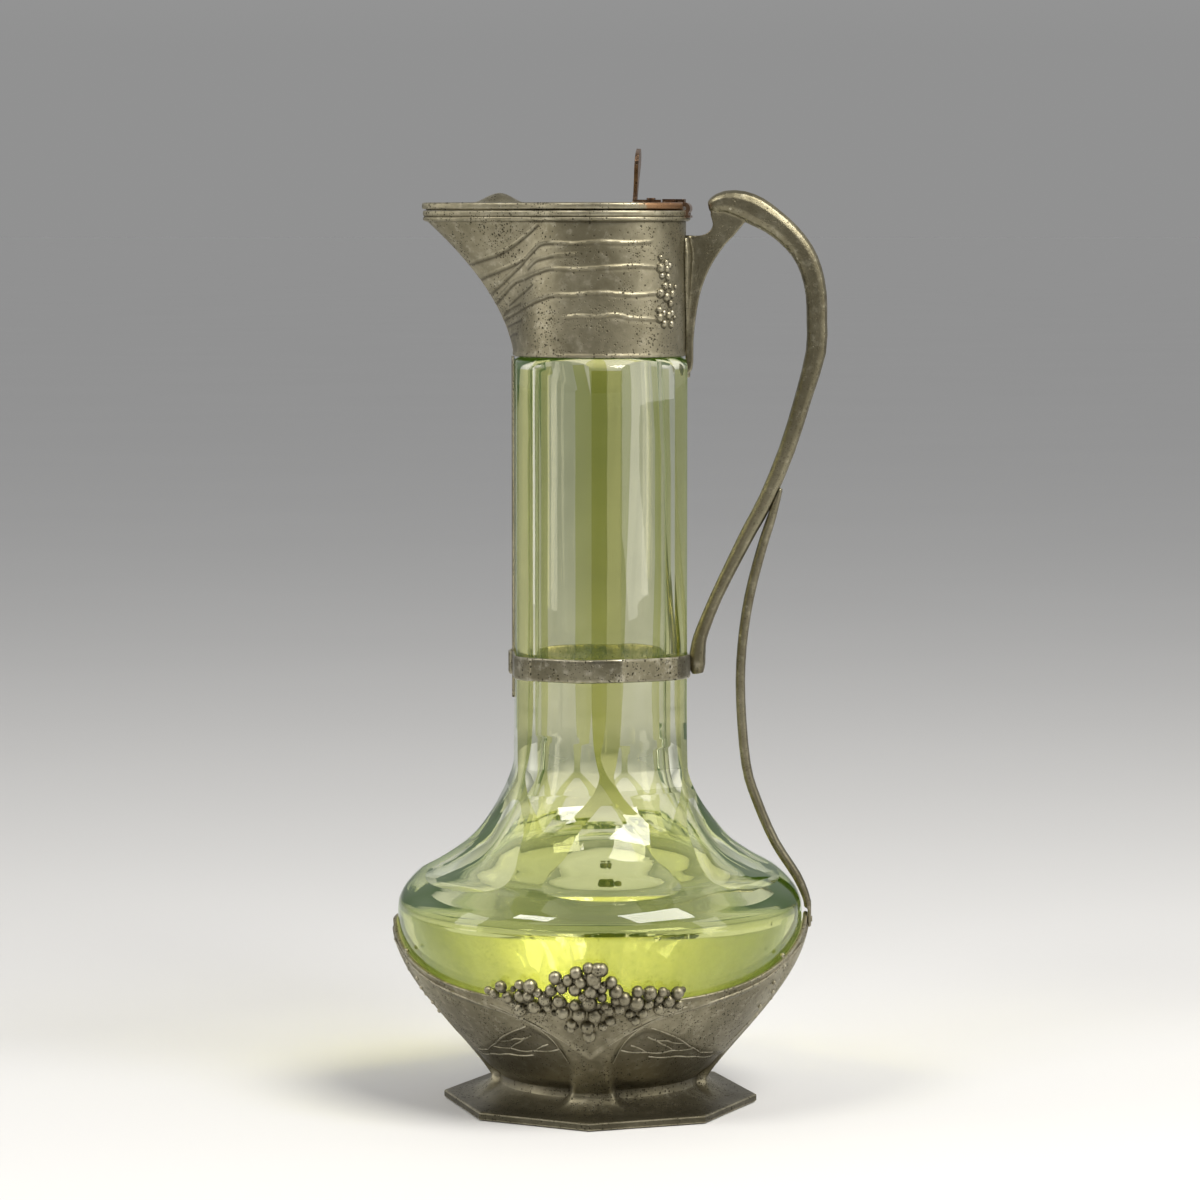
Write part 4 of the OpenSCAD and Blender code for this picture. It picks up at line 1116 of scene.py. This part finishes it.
# ---- hinge ----
# Five knuckles on a drawn wire pin: three on a plate let into the collar's rim, two
# on a strap on the lid. The plating is worn to its brown metal.
BROWN_TONES = (0.12, 0.078, 0.05), (0.06, 0.042, 0.03), (0.28, 0.175, 0.11)
brown = metal("worn_brown_plating", BROWN_TONES, 0.8, 0.8, 0.32, 0.8)
for node in ("collar_hinge_lug", "lid_hinge_leaf"):
    refinish(node, brown)
WIRE_TONES = (0.36, 0.34, 0.31), (0.22, 0.20, 0.18), (0.5, 0.48, 0.45)
wire_steel = metal("drawn_wire", WIRE_TONES, 0.3, 0.6, 0.3, 0.3)
refinish("hinge_pin", wire_steel)

# ---- lid ----
# Flat lid of cast pewter, cut to the spout's outline, with a low drop-shaped boss over
# the beak and a fine line inside its edge. The hinge's strap is let into its back end.
LID_OUT = MOULDING_OUT + 0.4
BOSS_X, BOSS_H, BOSS_HALF_W = -38.5, 3.7, 7.0
BOSS_BACK, BOSS_FRONT = 8.6, 9.5
# The edge's section, from the seat below to the face: in from the outline, and height.
LID_EDGE = [
    (2.9, 345.35), (2.5, 345.27), (1.8, 345.27), (1.45, 345.7), (0.6, 345.75), (0.15, 345.95), (0, 346.3), (0, 347.4),
    (0.15, 347.9), (0.6, 348.2), (1.1, 348.25), (1.5, 348.05), (1.9, 348.0), (2.3, 348.2), (2.8, 348.25),
]
lid_stations = [("face", i / 12, LID_Z - 0.2) for i in range(13)]
lid_stations += [("edge", x, z) for x, z in LID_EDGE]
lid_stations += [("face", i / 40, LID_TOP) for i in range(40, -1, -1)]


def lid_point(u, v):
    """Point round the lid by u, closer together at the beak, and on its stations by v."""
    w = 2 * u - 1
    a = 180 * (0.45 * w + 0.55 * w**3)
    kind, x, z = lid_stations[round(v * (len(lid_stations) - 1))]
    r = collar_outline(MOULDING_Z, a) + LID_OUT
    r = r - x if kind == "edge" else (r - 3.2) * x
    px, py = -r * math.cos(math.radians(a)), -r * math.sin(math.radians(a))
    px = min(px, HINGE_X - 0.35)
    if z > LID_TOP - 0.5:
        q = math.hypot((px - BOSS_X) / (BOSS_BACK if px > BOSS_X else BOSS_FRONT), py / BOSS_HALF_W)
        z += BOSS_H * (1 - step(q, 0, 1.05)) ** 0.75 if q < 1.05 else 0
    return (px, py, z)


lid = add_grid("lid_plate", 300, len(lid_stations) - 1, lid_point, 50)
cut_away(lid, add_cutter("hinge_seat", seat_outline(HINGE_X - 3.65, 341), 9.45, 0))
# Towards the hinge the plating is rubbed through to the brown metal.
lid_pewter = metal("rubbed_lid_pewter", PEWTER_TONES, 0.9, 0.7, 0.38, 0.6)
nt = lid_pewter.node_tree
place = object_place(nt)
split = nt.nodes.new("ShaderNodeSeparateXYZ")
nt.links.new(place, split.inputs["Vector"])
along = ramp_node(nt, split.outputs["X"], 0.004, 0.028)
rubbed = ramp_node(nt, math_node(nt, "ADD", along, noise_node(nt, place, 210, 5, 0.68)), 1.0, 1.25)
wear_and_shade_tint(lid_pewter, math_node(nt, "MULTIPLY", rubbed, 0.9), (0.24, 0.125, 0.06))
lid.data.materials.clear()
lid.data.materials.append(lid_pewter)
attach(lid, "lid")
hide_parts("lid")

# ---- thumb piece ----
# Cut from sheet metal and bent up from its foot, which two rivets hold to the lid. Its
# plating is worn to brown, as the hinge's is.
for node in ("thumb_piece", "thumb_rivets"):
    refinish(node, brown)


# ---- handle and strut ----
# Handle of cast pewter, soldered to the collar's back and riveted to the neck band, and
# the thin strut that leaves its leg and is riveted to the cup's point. Both castings are
# softly rounded.
def soften(name, node, voxel, rounds):
    """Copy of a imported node, remeshed and smoothed as a casting is."""
    source = nodes[node]
    piece = source.copy()
    piece.data = source.data.copy()
    piece.name = piece.data.name = name
    piece.parent = None
    for key in list(piece.keys()):
        del piece[key]
    bpy.context.scene.collection.objects.link(piece)
    pick(piece)
    bpy.ops.object.mode_set(mode="EDIT")
    bpy.ops.mesh.select_all(action="SELECT")
    bpy.ops.mesh.remove_doubles(threshold=1e-6)
    bpy.ops.object.mode_set(mode="OBJECT")
    remesh = piece.modifiers.new("remesh", "REMESH")
    remesh.mode = "VOXEL"
    remesh.voxel_size = voxel * MM
    bpy.ops.object.modifier_apply(modifier="remesh")
    smooth = piece.modifiers.new("smooth", "SMOOTH")
    smooth.factor = 0.5
    smooth.iterations = rounds
    bpy.ops.object.modifier_apply(modifier="smooth")
    bpy.ops.object.shade_smooth()
    piece.data.materials.clear()
    return piece


handle = soften("handle_casting", "handle", 0.4, 4)
HANDLE_TONES = (0.215, 0.195, 0.13), (0.12, 0.106, 0.066), (0.40, 0.375, 0.28)
handle_pewter = metal("smooth_handle_pewter", HANDLE_TONES, 0.45, 1.0, 0.34, 0.5)
handle.data.materials.append(handle_pewter)
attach(handle, "jug")
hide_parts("handle")
strut = soften("strut_casting", "handle_strut", 0.4, 6)
strut.data.materials.append(handle_pewter)
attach(strut, "jug")
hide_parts("handle_strut")
refinish("strut_rivet", handle_pewter)
